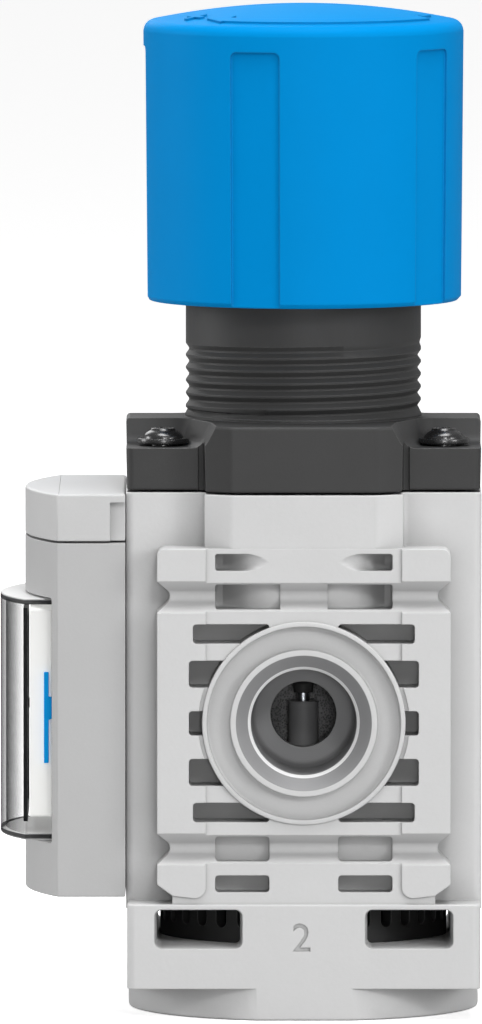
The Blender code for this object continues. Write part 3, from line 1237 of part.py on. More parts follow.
def build_gauge_case(root, finish):
    """Bowed shell of the built on gauge, open at its top and its front, and the cap over it."""
    outside = bowed_outline(CASE_HALF_WIDTH, CASE_APEX, CASE_BOW, CASE_X, CASE_CORNER)
    inside = bowed_outline(CASE_HALF_WIDTH, CASE_APEX, CASE_BOW, CASE_X - CASE_BACK, CASE_CORNER, CASE_WALL)
    seam = CASE_SEAM - GAP / 2
    case = prism("gauge_housing", outside, CASE_BOTTOM, seam, finish)
    hollow = prism("hollow", inside, CASE_BOTTOM + CASE_WALL, seam + OVERRUN)
    opening = prism("opening", rectangle((-LENS_OPENING_HALF_WIDTH, LENS_OPENING_LOW),
                                         (LENS_OPENING_HALF_WIDTH, LENS_OPENING_HIGH), LENS_CORNER),
                    -CASE_APEX - OVERRUN, -CASE_APEX + LENS_OPENING_DEPTH, axis="X")
    radius = NIPPLE_RADIUS + GAP
    start = -CASE_X - OVERRUN
    end = -CASE_X + CASE_BACK + OVERRUN
    nipple_hole = lathe("nipple_hole", [(0, end), (radius, end), (radius, start), (0, start)],
                        steps=SMALL_STEPS, axis="-X")
    nipple_hole.location = (0, 0, PORT_AXIS)
    cut(case, hollow, opening, nipple_hole)
    seat(case, root)
    cap = prism("gauge_cap", outside, CASE_SEAM + GAP / 2, CASE_TOP, finish)
    notch = prism("cap_notch", rectangle((CASE_X - CAP_NOTCH, -CASE_HALF_WIDTH - OVERRUN),
                                         (CASE_X + OVERRUN, CASE_HALF_WIDTH + OVERRUN)),
                  CASE_SEAM - OVERRUN, CASE_TOP - CAP_SLAB)
    inside = bowed_outline(CASE_HALF_WIDTH, CASE_APEX, CASE_BOW, CASE_X - CAP_NOTCH - CASE_WALL, CASE_CORNER,
                           CASE_WALL)
    under = prism("cap_hollow", inside, CASE_SEAM - OVERRUN, CASE_TOP - CASE_WALL)
    cut(cap, notch, under)
    return seat(cap, root)


def build_gauge_window(root, finish):
    """Clear moulded window: a bowed front, four walls and a flange behind the case's opening."""
    low = LENS_OPENING_LOW + GAP
    high = LENS_OPENING_HIGH - GAP
    back = -LENS_SIDE + LENS_FLANGE_DEPTH + LENS_FLANGE
    outside = bowed_outline(LENS_HALF_WIDTH, LENS_APEX, LENS_BOW, back, LENS_CORNER)
    inside = bowed_outline(LENS_HALF_WIDTH, LENS_APEX, LENS_BOW, back + OVERRUN, LENS_CORNER, LENS_WALL)
    window = prism("gauge_window", outside, low, high, finish)
    half = LENS_OPENING_HALF_WIDTH - GAP
    join(window, prism("flange", rectangle((back - LENS_FLANGE, -half), (back, half)), low, high))
    cut(window, prism("hollow", inside, low + LENS_WALL, high - LENS_WALL))
    return seat(window, root)


def build_gauge_dial(root, white, black):
    """White dial carrier, open at its back, and the black bezel on its face."""
    face = -DIAL_FACE
    carrier = prism("gauge_dial", rectangle((-DIAL_HALF_WIDTH, DIAL_LOW), (DIAL_HALF_WIDTH, DIAL_HIGH)),
                    face, face + DIAL_DEPTH, white, axis="X")
    hollow = prism("hollow", rectangle((-DIAL_HALF_WIDTH + DIAL_WALL, DIAL_LOW + DIAL_WALL),
                                       (DIAL_HALF_WIDTH - DIAL_WALL, DIAL_HIGH - DIAL_WALL)),
                   face + DIAL_WALL, face + DIAL_DEPTH + OVERRUN, axis="X")
    radius = ARBOR_RADIUS + GAP
    start = DIAL_FACE - DIAL_WALL - OVERRUN
    end = DIAL_FACE + OVERRUN
    hole = lathe("arbor_hole", [(0, end), (radius, end), (radius, start), (0, start)],
                 steps=SMALL_STEPS, axis="-X")
    hole.location = (0, 0, NEEDLE_HEIGHT)
    cut(carrier, hollow, hole)
    seat(carrier, root)
    half = BEZEL_HALF_WIDTH
    bezel = prism("gauge_bezel", rectangle((-half, DIAL_LOW - BEZEL_OVERHANG), (half, DIAL_HIGH)),
                  -BEZEL_FRONT, face - GAP, black, axis="X")
    opening = prism("bezel_opening", rectangle((-half + BEZEL_WIDTH, DIAL_LOW - BEZEL_OVERHANG + BEZEL_WIDTH),
                                               (half - BEZEL_WIDTH, DIAL_HIGH - BEZEL_WIDTH)),
                    -BEZEL_FRONT - OVERRUN, face - GAP + OVERRUN, axis="X")
    cut(bezel, opening)
    return seat(bezel, root)


def build_needle(parent, finish):
    """Pointer with its arbor, turned about X from its stop at the lower left."""
    front = -(GAP + NEEDLE_THICKNESS + GAP)
    back = front + NEEDLE_THICKNESS
    shoulder = NEEDLE_LENGTH - NEEDLE_POINT
    outline = [(-NEEDLE_TAIL, NEEDLE_HALF_WIDTH), (-NEEDLE_TAIL, -NEEDLE_HALF_WIDTH),
               (shoulder, -NEEDLE_HALF_WIDTH / 2), (NEEDLE_LENGTH, 0), (shoulder, NEEDLE_HALF_WIDTH / 2)]
    turned = [(u * math.cos(NEEDLE_REST) - v * math.sin(NEEDLE_REST),
               u * math.sin(NEEDLE_REST) + v * math.cos(NEEDLE_REST)) for u, v in outline]
    needle = prism("gauge_needle", turned, front, back, finish, axis="X")
    hub = lathe("needle_hub", [
        (0, -front + NEEDLE_HUB_PROUD),
        (NEEDLE_HUB, -front + NEEDLE_HUB_PROUD),
        (NEEDLE_HUB, -back),
        (ARBOR_RADIUS, -back),
        (ARBOR_RADIUS, -ARBOR_LENGTH),
        (0, -ARBOR_LENGTH),
    ], steps=SMALL_STEPS, axis="-X")
    join(needle, hub)
    return seat(needle, parent)


def build_set_marker(root, finish):
    """Blue limit marker clipped on the side of the dial carrier."""
    back = -DIAL_FACE + MARKER_SETBACK + MARKER_WIDTH
    front = back - MARKER_WIDTH
    arm = back + MARKER_ARM
    outline = [(front, MARKER_LOW), (back, MARKER_LOW), (back, MARKER_ARM_LOW), (arm, MARKER_ARM_LOW),
               (arm, MARKER_ARM_HIGH), (back, MARKER_ARM_HIGH), (back, MARKER_HIGH), (front, MARKER_HIGH)]
    low = -DIAL_HALF_WIDTH - GAP / 2 - MARKER_THICKNESS
    return seat(prism("set_marker", outline, low, low + MARKER_THICKNESS, finish, axis="Y"), root)


def build_gauge_movement(root, brass, rubber):
    """Nipple that leads the outlet pressure into the gauge, its O ring, and the curved pressure tube."""
    inner = BODY_HALF_WIDTH - NIPPLE_INSERTION
    wall_back = -CASE_X + CASE_BACK
    nipple = lathe("gauge_nipple", [
        (NIPPLE_BORE, inner),
        (NIPPLE_RADIUS - GAUGE_SEAL_WIRE, inner),
        (NIPPLE_RADIUS - GAUGE_SEAL_WIRE, inner + 2 * GAUGE_SEAL_WIRE + GAP),
        (NIPPLE_RADIUS, inner + 2 * GAUGE_SEAL_WIRE + GAP),
        (NIPPLE_RADIUS, wall_back + GAP),
        (NIPPLE_COLLAR, wall_back + GAP),
        (NIPPLE_COLLAR, wall_back + GAP + NIPPLE_COLLAR_THICKNESS),
        (NIPPLE_BORE, wall_back + GAP + NIPPLE_COLLAR_THICKNESS),
    ], brass, steps=SMALL_STEPS, axis="-X")
    seat(nipple, root, (0, 0, PORT_AXIS))
    seal_in = NIPPLE_RADIUS - GAUGE_SEAL_WIRE + GAP / 2
    seal = lathe("gauge_seal", [
        (seal_in, inner + GAP / 2),
        (NIPPLE_RADIUS + GAP / 2, inner + GAP / 2 + SEAL_BULGE),
        (NIPPLE_RADIUS + GAP / 2, inner + 2 * GAUGE_SEAL_WIRE - SEAL_BULGE),
        (seal_in, inner + 2 * GAUGE_SEAL_WIRE),
    ], rubber, steps=SMALL_STEPS, axis="-X")
    seat(seal, root, (0, 0, PORT_AXIS))
    front = -(wall_back + 2 * GAP + NIPPLE_COLLAR_THICKNESS + PRESSURE_TUBE_RADIUS)
    points = []
    for i in range(TUBE_STEPS + 1):
        angle = -math.pi / 2 + TUBE_SWEEP * i / TUBE_STEPS
        lead = max(1 - i / TUBE_LEAD, 0)
        radius = TUBE_COIL_RADIUS * (1 - TUBE_LEAD_SHARE * lead ** 2)
        points.append((front, radius * math.cos(angle), radius * math.sin(angle)))
    return seat(tube_along("pressure_tube", points, PRESSURE_TUBE_RADIUS, brass), root, (0, 0, PORT_AXIS))


def main():
    """Builds the regulator, hung on one empty for each moving body."""
    clear_scene()
    cast_grey = material("cast_grey", (0.60, 0.60, 0.60), 0.45)
    black_plastic = material("black_plastic", (0.03, 0.03, 0.032), 0.5)
    blue_plastic = material("blue_plastic", (0.0, 0.25, 0.75), 0.35)
    black_steel = material("black_steel", (0.02, 0.02, 0.02), 0.3, 1.0)
    zinc_steel = material("zinc_steel", (0.65, 0.65, 0.66), 0.3, 1.0)
    brass = material("brass", (0.72, 0.52, 0.22), 0.3, 1.0)
    rubber = material("black_rubber", (0.015, 0.015, 0.015), 0.7)
    white_plastic = material("white_plastic", (0.85, 0.85, 0.85), 0.4)
    clear_plastic = material("clear_plastic", (0.95, 0.97, 0.98), 0.05, alpha=0.3)

    root = pivot("regulator")
    adjuster = pivot("spindle_axis", root)
    valve = pivot("valve_axis", root)
    diaphragm_stack = pivot("diaphragm_axis", root)
    needle_axis = pivot("needle_axis", root, (-DIAL_FACE, 0, NEEDLE_HEIGHT))

    build_housing(root, cast_grey)
    build_bonnet(root, black_plastic)
    build_screws(root, black_steel)
    build_knob(adjuster, blue_plastic)
    build_lock_ring(root, zinc_steel)
    build_adjuster(adjuster, root, zinc_steel, brass)
    build_spring_plate(root, brass)
    build_main_spring(root, zinc_steel)
    build_diaphragm(root, rubber)
    build_diaphragm_plate(diaphragm_stack, zinc_steel, brass)
    build_stem_guide(root, black_plastic)
    build_valve_seat(root, brass)
    build_valve(valve, black_plastic, rubber, zinc_steel)
    build_valve_spring(root, zinc_steel)
    build_base_plug(root, black_plastic, rubber)
    build_gauge_case(root, cast_grey)
    build_gauge_window(root, clear_plastic)
    build_gauge_dial(root, white_plastic, black_plastic)
    build_needle(needle_axis, black_plastic)
    build_set_marker(root, blue_plastic)
    build_gauge_movement(root, brass, rubber)


if __name__ == "__main__":
    main()
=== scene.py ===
"""Looks of a pressure regulator valve with a built on gauge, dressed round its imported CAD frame.

Sizes are in millimetres and become metres when a piece is made. +Z runs up the knob's axis, the outlet port
looks towards -Y, the inlet port towards +Y and the gauge towards -X.
"""

import logging
import math
from dataclasses import dataclass
from enum import Enum

import bmesh
import bpy
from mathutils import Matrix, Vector


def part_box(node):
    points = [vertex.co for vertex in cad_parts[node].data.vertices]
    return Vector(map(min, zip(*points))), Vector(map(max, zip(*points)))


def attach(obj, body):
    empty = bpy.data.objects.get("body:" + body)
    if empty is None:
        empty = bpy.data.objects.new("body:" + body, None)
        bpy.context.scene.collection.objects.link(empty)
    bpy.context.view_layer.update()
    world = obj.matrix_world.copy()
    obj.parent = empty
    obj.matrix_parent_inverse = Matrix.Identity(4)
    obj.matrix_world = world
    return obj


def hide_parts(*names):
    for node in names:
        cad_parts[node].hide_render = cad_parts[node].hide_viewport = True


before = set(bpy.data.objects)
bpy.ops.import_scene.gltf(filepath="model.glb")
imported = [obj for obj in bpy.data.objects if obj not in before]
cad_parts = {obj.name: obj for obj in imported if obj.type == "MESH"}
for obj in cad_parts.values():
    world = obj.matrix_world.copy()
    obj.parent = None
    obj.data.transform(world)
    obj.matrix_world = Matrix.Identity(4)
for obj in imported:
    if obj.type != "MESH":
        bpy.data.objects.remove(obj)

MM = 0.001
OVERRUN = 1.0
EDGE_STEPS = 3
SHARP_ANGLE = math.radians(28)

Pair = tuple[float, float]
Triple = tuple[float, float, float]
Colour = tuple[float, float, float, float]
Outline = list[Pair]
Corner = Triple
Piece = bpy.types.Object
Material = bpy.types.Material
Tree = bpy.types.NodeTree
Socket = bpy.types.NodeSocket

log = logging.getLogger("regulator")
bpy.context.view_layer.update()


class Facing(Enum):
    """The way that the height of a prism or of a turned piece points."""

    UP = "up"
    OUTLET = "outlet"
    INLET = "inlet"
    GAUGE = "gauge"
    SIDE = "side"

    def place(self, across: float, along: float, height: float) -> Triple:
        """Puts a point of an outline into the frame.

        Args:
            across: First coordinate of the outline.
            along: Second coordinate of the outline.
            height: Distance along the way this faces.

        Returns:
            The point as X, Y and Z.
        """
        return {
            Facing.UP: (across, along, height),
            Facing.OUTLET: (across, -height, along),
            Facing.INLET: (across, height, along),
            Facing.GAUGE: (-height, across, along),
            Facing.SIDE: (height, across, along),
        }[self]


def polar(radius: float, angle: float) -> Pair:
    """The point at a distance and an angle, in radians, from the middle."""
    return radius * math.cos(angle), radius * math.sin(angle)


def arc(centre: Pair, radius: float, start: float, end: float, steps: int = 8) -> Outline:
    """Points of an arc.

    Args:
        centre: Its centre.
        radius: Its radius.
        start: First angle, in radians.
        end: Last angle, in radians.
        steps: Number of chords.

    Returns:
        The points, both ends included.
    """
    angles = [start + (end - start) * i / steps for i in range(steps + 1)]
    return [(centre[0] + radius * math.cos(a), centre[1] + radius * math.sin(a)) for a in angles]


def filleted(corners: list[Corner], steps: int = 4) -> Outline:
    """Rounds the corners of a closed outline.

    Args:
        corners: Points with the radius of each corner.
        steps: Number of chords of each round corner.

    Returns:
        The closed outline.
    """
    points: Outline = []
    for i, (x, y, radius) in enumerate(corners):
        here = Vector((x, y))
        before = Vector(corners[i - 1][:2]) - here
        after = Vector(corners[(i + 1) % len(corners)][:2]) - here
        half_angle = before.angle(after) / 2
        reach = min(radius / math.tan(half_angle), 0.49 * before.length, 0.49 * after.length)
        if reach < 1e-6:
            points.append((x, y))
            continue
        radius = reach * math.tan(half_angle)
        middle = (before.normalized() + after.normalized()).normalized()
        centre = here + middle * radius / math.sin(half_angle)
        first = here + before.normalized() * reach - centre
        turn = math.pi - 2 * half_angle
        turn = turn if before.x * after.y - before.y * after.x < 0 else -turn
        for step in range(steps + 1):
            angle = turn * step / steps
            points.append((centre.x + first.x * math.cos(angle) - first.y * math.sin(angle),
                           centre.y + first.x * math.sin(angle) + first.y * math.cos(angle)))
    return points


def rectangle(low: Pair, high: Pair, radius: float = 0.0,
              steps: int = 4) -> Outline:
    """Outline of a rectangle with round corners.

    Args:
        low: Its lower left corner.
        high: Its upper right corner.
        radius: Radius of its corners.
        steps: Number of chords of each corner.

    Returns:
        The closed outline.
    """
    return filleted([(low[0], low[1], radius), (high[0], low[1], radius),
                     (high[0], high[1], radius), (low[0], high[1], radius)], steps)


def mirrored(outline: Outline) -> Outline:
    """The outline on the other side of its second axis."""
    return [(-x, y) for x, y in reversed(outline)]


def inset(outline: Outline, distance: float) -> Outline:
    """Moves an outline inwards.

    Args:
        outline: The closed outline.
        distance: How far it moves, or outwards where it is negative.

    Returns:
        The moved outline, with as many points.
    """
    area = sum(a[0] * b[1] - b[0] * a[1] for a, b in zip(outline, outline[1:] + outline[:1]))
    distance = distance if area > 0 else -distance
    moved: Outline = []
    for i, point in enumerate(outline):
        here = Vector(point)
        before = (here - Vector(outline[i - 1])).normalized()
        after = (Vector(outline[(i + 1) % len(outline)]) - here).normalized()
        inwards = Vector((-before.y - after.y, before.x + after.x)) / 2
        step = inwards * distance / max(inwards.length_squared, 0.3)
        moved.append((here.x + step.x, here.y + step.y))
    return moved


def placed(name: str, data: bpy.types.ID) -> Piece:
    """A new object with this data, in the scene."""
    made = bpy.data.objects.new(name, data)
    bpy.context.scene.collection.objects.link(made)
    return made


def as_piece(name: str, bm: bmesh.types.BMesh) -> Piece:
    """Makes a piece in metres from a mesh in millimetres, its faces turned outwards.

    Args:
        name: Name of the piece.
        bm: The mesh, which is freed.

    Returns:
        The piece.
    """
    bmesh.ops.scale(bm, vec=(MM, MM, MM), verts=bm.verts)
    bmesh.ops.recalc_face_normals(bm, faces=bm.faces)
    mesh = bpy.data.meshes.new(name)
    bm.to_mesh(mesh)
    bm.free()
    return placed(name, mesh)


def loft(name: str, rings: list[list[Triple]]) -> Piece:
    """A solid through rings of as many points each.

    Args:
        name: Name of the piece.
        rings: The rings, in order, with a cap on the first and the last.

    Returns:
        The piece.
    """
    bm = bmesh.new()
    rows = [[bm.verts.new(point) for point in ring] for ring in rings]
    bm.faces.new(rows[0])
    bm.faces.new(rows[-1])
    for low, high in zip(rows, rows[1:]):
        for i, corner in enumerate(low):
            j = (i + 1) % len(low)
            bm.faces.new((corner, low[j], high[j], high[i]))
    return as_piece(name, bm)


def prism(name: str, outline: Outline, low: float, high: float, facing: Facing = Facing.UP,
          edge: Pair = (0.0, 0.0)) -> Piece:
    """An outline run from one height to another, its end edges rounded.

    Args:
        name: Name of the piece.
        outline: The closed outline.
        low: Where it starts.
        high: Where it ends.
        facing: The way its height points.
        edge: Radius of the edges at its start and at its end.

    Returns:
        The piece.
    """
    levels: list[Pair] = []
    for end, inwards, radius in ((low, 1, edge[0]), (high, -1, edge[1])):
        turns = [math.pi / 2 * i / EDGE_STEPS for i in range(EDGE_STEPS + 1)] if radius else [math.pi / 2]
        level = [(end + inwards * radius * (1 - math.cos(t)), radius * (1 - math.sin(t))) for t in turns]
        levels += level if inwards > 0 else reversed(level)
    rings = [[facing.place(x, y, height) for x, y in (inset(outline, away) if away else outline)]
             for height, away in levels]
    return loft(name, rings)


def turned(name: str, corners: list[Corner], steps: int = 96, facing: Facing = Facing.UP,
           centre: Pair = (0.0, 0.0), arc_steps: int = 3) -> Piece:
    """A profile turned about the way it faces.

    Args:
        name: Name of the piece.
        corners: Closed profile as radius, height and fillet. It may run along the axis.
        steps: Number of facets round the axis.
        facing: The way its height points.
        centre: Where the axis meets the plane across it.
        arc_steps: Number of chords of each fillet.

    Returns:
        The piece.
    """
    profile = filleted(corners, arc_steps)
    bm = bmesh.new()
    rows = []
    for radius, height in profile:
        count = steps if radius > 1e-9 else 1
        rows.append([bm.verts.new(facing.place(centre[0] + radius * math.cos(2 * math.pi * i / steps),
                                               centre[1] + radius * math.sin(2 * math.pi * i / steps),
                                               height)) for i in range(count)])
    for first, second in zip(rows, rows[1:] + rows[:1]):
        if len(first) == 1 and len(second) == 1:
            continue
        for i in range(steps):
            j = (i + 1) % steps
            face = [first[i % len(first)], first[j % len(first)], second[j % len(second)],
                    second[i % len(second)]]
            bm.faces.new(list(dict.fromkeys(face)))
    return as_piece(name, bm)


def cylinder(name: str, radius: float, low: float, high: float, steps: int = 48, facing: Facing = Facing.UP,
             centre: Pair = (0.0, 0.0)) -> Piece:
    """A plain round bar.

    Args:
        name: Name of the piece.
        radius: Its radius.
        low: Where it starts.
        high: Where it ends.
        steps: Number of its facets.
        facing: The way its height points.
        centre: Where its axis meets the plane across it.

    Returns:
        The piece.
    """
    return turned(name, [(0, low, 0), (radius, low, 0), (radius, high, 0), (0, high, 0)], steps, facing,
                  centre)


def rod(name: str, points: list[Triple], radius: float, sides: int = 12) -> Piece:
    """A round bar with closed ends, along a run of points.

    Args:
        name: Name of the piece.
        points: The run of its middle.
        radius: Radius of the bar.
        sides: Number of its facets.

    Returns:
        The piece.
    """
    path = [Vector(point) for point in points]
    side = (path[1] - path[0]).orthogonal().normalized()
    rings = []
    for i, here in enumerate(path):
        along = (path[min(i + 1, len(path) - 1)] - path[max(i - 1, 0)]).normalized()
        side = (side - along * side.dot(along)).normalized()
        up = along.cross(side)
        rings.append([tuple(here + (side * math.cos(t) + up * math.sin(t)) * radius)
                      for t in (2 * math.pi * k / sides for k in range(sides))])
    return loft(name, rings)


class Boolean(Enum):
    """How tools are combined with a piece."""

    UNION = "UNION"
    DIFFERENCE = "DIFFERENCE"
    INTERSECT = "INTERSECT"


def combine(target: Piece, operation: Boolean, tools: tuple[Piece, ...]) -> Piece:
    """Joins tools to a piece, or cuts them from it, and removes them.

    Args:
        target: The piece that stays.
        operation: How they are combined.
        tools: The pieces it is combined with.

    Returns:
        The target.
    """
    for tool in tools:
        modifier = target.modifiers.new(tool.name, "BOOLEAN")
        modifier.operation = operation.value
        modifier.solver = "MANIFOLD"
        modifier.object = tool
    graph = bpy.context.evaluated_depsgraph_get()
    mesh = bpy.data.meshes.new_from_object(target.evaluated_get(graph))
    mesh.name = target.name
    target.modifiers.clear()
    target.data = mesh
    for tool in tools:
        bpy.data.objects.remove(tool, do_unlink=True)
    return target


def fuse(target: Piece, *tools: Piece) -> Piece:
    """The target with the tools joined to it."""
    return combine(target, Boolean.UNION, tools)


def carve(target: Piece, *tools: Piece) -> Piece:
    """The target with the tools cut from it."""
    return combine(target, Boolean.DIFFERENCE, tools)


def lettering(name: str, text: str, size: float, place: Pair, low: float, high: float,
              facing: Facing) -> Piece:
    """Raised or sunk characters.

    Args:
        name: Name of the piece.
        text: The characters.
        size: Their size.
        place: Centre of the text across its face.
        low: Where the characters start.
        high: Where they end.
        facing: The way their face points.

    Returns:
        The piece.
    """
    curve = bpy.data.curves.new(name, "FONT")
    curve.body = text
    curve.size = size
    curve.align_x = "CENTER"
    curve.align_y = "CENTER"
    curve.resolution_u = 3
    flat = placed(name, curve)
    mesh = bpy.data.meshes.new_from_object(flat.evaluated_get(bpy.context.evaluated_depsgraph_get()))
    bpy.data.objects.remove(flat, do_unlink=True)
    bm = bmesh.new()
    bm.from_mesh(mesh)
    bmesh.ops.remove_doubles(bm, verts=bm.verts, dist=1e-5)
    bmesh.ops.dissolve_limit(bm, angle_limit=0.01, verts=bm.verts, edges=bm.edges)
    run = bmesh.ops.extrude_face_region(bm, geom=bm.faces[:])
    raised = {part for part in run["geom"] if isinstance(part, bmesh.types.BMVert)}
    across = -1 if facing in (Facing.INLET, Facing.GAUGE) else 1
    for vert in bm.verts:
        height = high if vert in raised else low
        vert.co = facing.place(place[0] + across * vert.co.x, place[1] + vert.co.y, height)
    return as_piece(name, bm)


def linear(code: str) -> Colour:
    """Turns an sRGB hex colour to a linear one.

    Args:
        code: Six hex digits after a hash.

    Returns:
        Red, green, blue and an alpha of one.
    """
    shares = [int(code[i:i + 2], 16) / 255 for i in (1, 3, 5)]
    red, green, blue = (s / 12.92 if s <= 0.04045 else ((s + 0.055) / 1.055) ** 2.4 for s in shares)
    return red, green, blue, 1.0


def per_metre(size: float) -> float:
    """Scale of a pattern whose grains are this many millimetres across."""
    return 1 / (size * MM)


def add(tree: Tree, kind: str, inputs: dict | None = None, **settings) -> bpy.types.Node:
    """Adds a node with its settings, values and links.

    Args:
        tree: The tree it goes into.
        kind: Its type.
        inputs: A value, or the socket that feeds it, for each input by name or number.
        **settings: Properties of the node.

    Returns:
        The node.
    """
    node = tree.nodes.new(kind)
    for name, value in settings.items():
        setattr(node, name, value)
    for name, value in (inputs or {}).items():
        if isinstance(value, Socket):
            tree.links.new(value, node.inputs[name])
        else:
            node.inputs[name].default_value = value
    return node


def calculate(tree: Tree, operation: str,
              *values: float | Socket) -> Socket:
    """Adds one sum on numbers or sockets, and gives its result."""
    return add(tree, "ShaderNodeMath", dict(enumerate(values)), operation=operation).outputs[0]


def remap(tree: Tree, value: Socket, start: Pair,
          end: Pair) -> Socket:
    """Maps the first range of a value to the second one, without running past its ends."""
    node = add(tree, "ShaderNodeMapRange", {"Value": value, "From Min": start[0], "From Max": start[1],
                                            "To Min": end[0], "To Max": end[1]})
    return node.outputs["Result"]


def ramp(tree: Tree, factor: Socket,
         stops: list[tuple[float, tuple]]) -> bpy.types.Node:
    """Adds a colour ramp.

    Args:
        tree: The tree it goes into.
        factor: What drives it.
        stops: Place and colour of each stop.

    Returns:
        The node.
    """
    node = add(tree, "ShaderNodeValToRGB", {"Fac": factor})
    elements = node.color_ramp.elements
    while len(elements) < len(stops):
        elements.new(1.0)
    for element, (place, colour) in zip(elements, stops):
        element.position = place
        element.color = colour
    return node


def shaded(colour: Colour, share: float) -> Colour:
    """A colour lightened by a share, or darkened where it is negative."""
    red, green, blue = (min(value * (1 + share), 1.0) for value in colour[:3])
    return red, green, blue, 1.0


@dataclass(frozen=True)
class Finish:
    """Sizes and values that every finish has.

    Each surface is mottled over a few millimetres, grained at the size of its texture and eased along its
    edges;
    a painted highlight lightens its edges and a painted shade darkens its crevices.
    """

    name: str
    colour: str
    roughness: float
    metallic: float = 0.0
    grain: float = 0.5
    relief: float = 0.01
    mottle: float = 0.03
    patch: float = 9.0
    edge: float = 0.15
    # Painted highlight: edge_light is how far the edges are mixed towards white.
    edge_light: float = 0.08
    roughness_spread: float = 0.06
    specular: float = 0.5
    # Painted light: glow makes the part emit its own colour, though it is no lamp.
    glow: float = 0.0
    # Painted shade: crevice is how far the occlusion looks, and the next value is how much darker the
    # crevices are painted.
    crevice: float = 1.2
    painted_crevice_shade: float = 0.4

    def make(self) -> Material:
        """Builds the material.

        Returns:
            The material, with its shader dressed by this finish.
        """
        made = bpy.data.materials.new(self.name)
        made.use_nodes = True
        tree = made.node_tree
        shader = tree.nodes["Principled BSDF"]
        shader.inputs["Metallic"].default_value = self.metallic
        if not self.metallic:
            shader.inputs["Specular IOR Level"].default_value = self.specular
        # Painted light: the finish emits its own colour, though the part is no lamp.
        if self.glow:
            shader.inputs["Emission Color"].default_value = linear(self.colour)
            shader.inputs["Emission Strength"].default_value = self.glow
        place = add(tree, "ShaderNodeTexCoord").outputs["Object"]
        self.dress(tree, shader, place)
        return made

    def dress(self, tree: Tree, shader: bpy.types.Node, place: Socket) -> None:
        """Feeds the shader.

        Args:
            tree: The material's tree.
            shader: Its shader.
            place: Place on the piece, in metres.
        """
        base = linear(self.colour)
        patches = add(tree, "ShaderNodeTexNoise",
                      {"Vector": place, "Scale": per_metre(self.patch), "Detail": 4.0})
        tone = ramp(tree, patches.outputs["Fac"],
                    [(0.3, shaded(base, -self.mottle)), (0.7, shaded(base, self.mottle))])
        grain = self.grains(tree, place)
        speck = ramp(tree, grain, [(0.25, (1 - self.mottle, 1 - self.mottle, 1 - self.mottle, 1.0)),
                                   (0.6, (1.0, 1.0, 1.0, 1.0))])
        body = add(tree, "ShaderNodeMix", {0: 1.0, 6: tone.outputs["Color"], 7: speck.outputs["Color"]},
                   data_type="RGBA", blend_type="MULTIPLY")
        eased = add(tree, "ShaderNodeBevel", {"Radius": self.edge * MM}, samples=4)
        flat = add(tree, "ShaderNodeNewGeometry")
        bend = add(tree, "ShaderNodeVectorMath", {0: eased.outputs["Normal"], 1: flat.outputs["Normal"]},
                   operation="DOT_PRODUCT")
        # Painted highlight: edges, found where the bevel normal bends away from the true one, are mixed
        # towards white.
        edge_highlight = remap(tree, bend.outputs["Value"], (1.0, 0.72), (0.0, self.edge_light))
        lit = add(tree, "ShaderNodeMix", {0: edge_highlight, 6: body.outputs[2], 7: (1.0, 1.0, 1.0, 1.0)},
                  data_type="RGBA")
        # Painted shade: the colour is darkened where ambient occlusion within the piece finds crevices.
        occlusion_for_painted_shade = add(tree, "ShaderNodeAmbientOcclusion", {"Distance": self.crevice * MM}, samples=6,
                     only_local=True)
        depth = remap(tree, occlusion_for_painted_shade.outputs["AO"], (0.2, 0.95), (1 - self.painted_crevice_shade, 1.0))
        sunk = add(tree, "ShaderNodeVectorMath", {0: lit.outputs[2], "Scale": depth}, operation="SCALE")
        tree.links.new(sunk.outputs[0], shader.inputs["Base Color"])
        spread = (self.roughness - self.roughness_spread, self.roughness + self.roughness_spread)
        tree.links.new(remap(tree, grain, (0.0, 1.0), spread), shader.inputs["Roughness"])
        bump = add(tree, "ShaderNodeBump",
                   {"Height": grain, "Normal": eased.outputs["Normal"], "Strength": 1.0,
                    "Distance": self.relief * MM})
        tree.links.new(bump.outputs["Normal"], shader.inputs["Normal"])

    def grains(self, tree: Tree, place: Socket) -> Socket:
        """The texture of the surface.

        Args:
            tree: The material's tree.
            place: Place on the piece, in metres.

        Returns:
            Its height, from nought to one.
        """
        noise = add(tree, "ShaderNodeTexNoise",
                    {"Vector": place, "Scale": per_metre(self.grain), "Detail": 3.0})
        return noise.outputs["Fac"]


@dataclass(frozen=True)
class PowderCoat(Finish):
    """Polyester powder baked on a die casting.

    It looks softly satin, with an orange peel of about half a millimetre that blurs its highlights.
    """

    name: str = "powder_coated_die_cast_aluminium"
    colour: str = "#CFCFCF"
    roughness: float = 0.5
    grain: float = 0.45
    relief: float = 0.012
    mottle: float = 0.014
    edge: float = 0.18
    edge_light: float = 0.12
    specular: float = 0.35
    crevice: float = 4.0
    painted_crevice_shade: float = 0.45


@dataclass(frozen=True)
class RawCasting(Finish):
    """Aluminium as it left the die, inside the ports.

    Its skin is coarse and speckled, bright on the crests and dark between them.
    """

    name: str = "raw_die_cast_aluminium"
    colour: str = "#8E8E8F"
    roughness: float = 0.6
    grain: float = 0.24
    relief: float = 0.09
    mottle: float = 0.6
    edge_light: float = 0.05

    def grains(self, tree: Tree, place: Socket) -> Socket:
        """The pebbled skin of the casting.

        Args:
            tree: The material's tree.
            place: Place on the piece, in metres.

        Returns:
            Its height, from nought to one.
        """
        cells = add(tree, "ShaderNodeTexVoronoi", {"Vector": place, "Scale": per_metre(self.grain)})
        return cells.outputs["Distance"]


class Axis(Enum):
    """The axis that a turned surface was cut about, and the two across it."""

    X = ("Y", "Z")
    Y = ("X", "Z")
    Z = ("X", "Y")


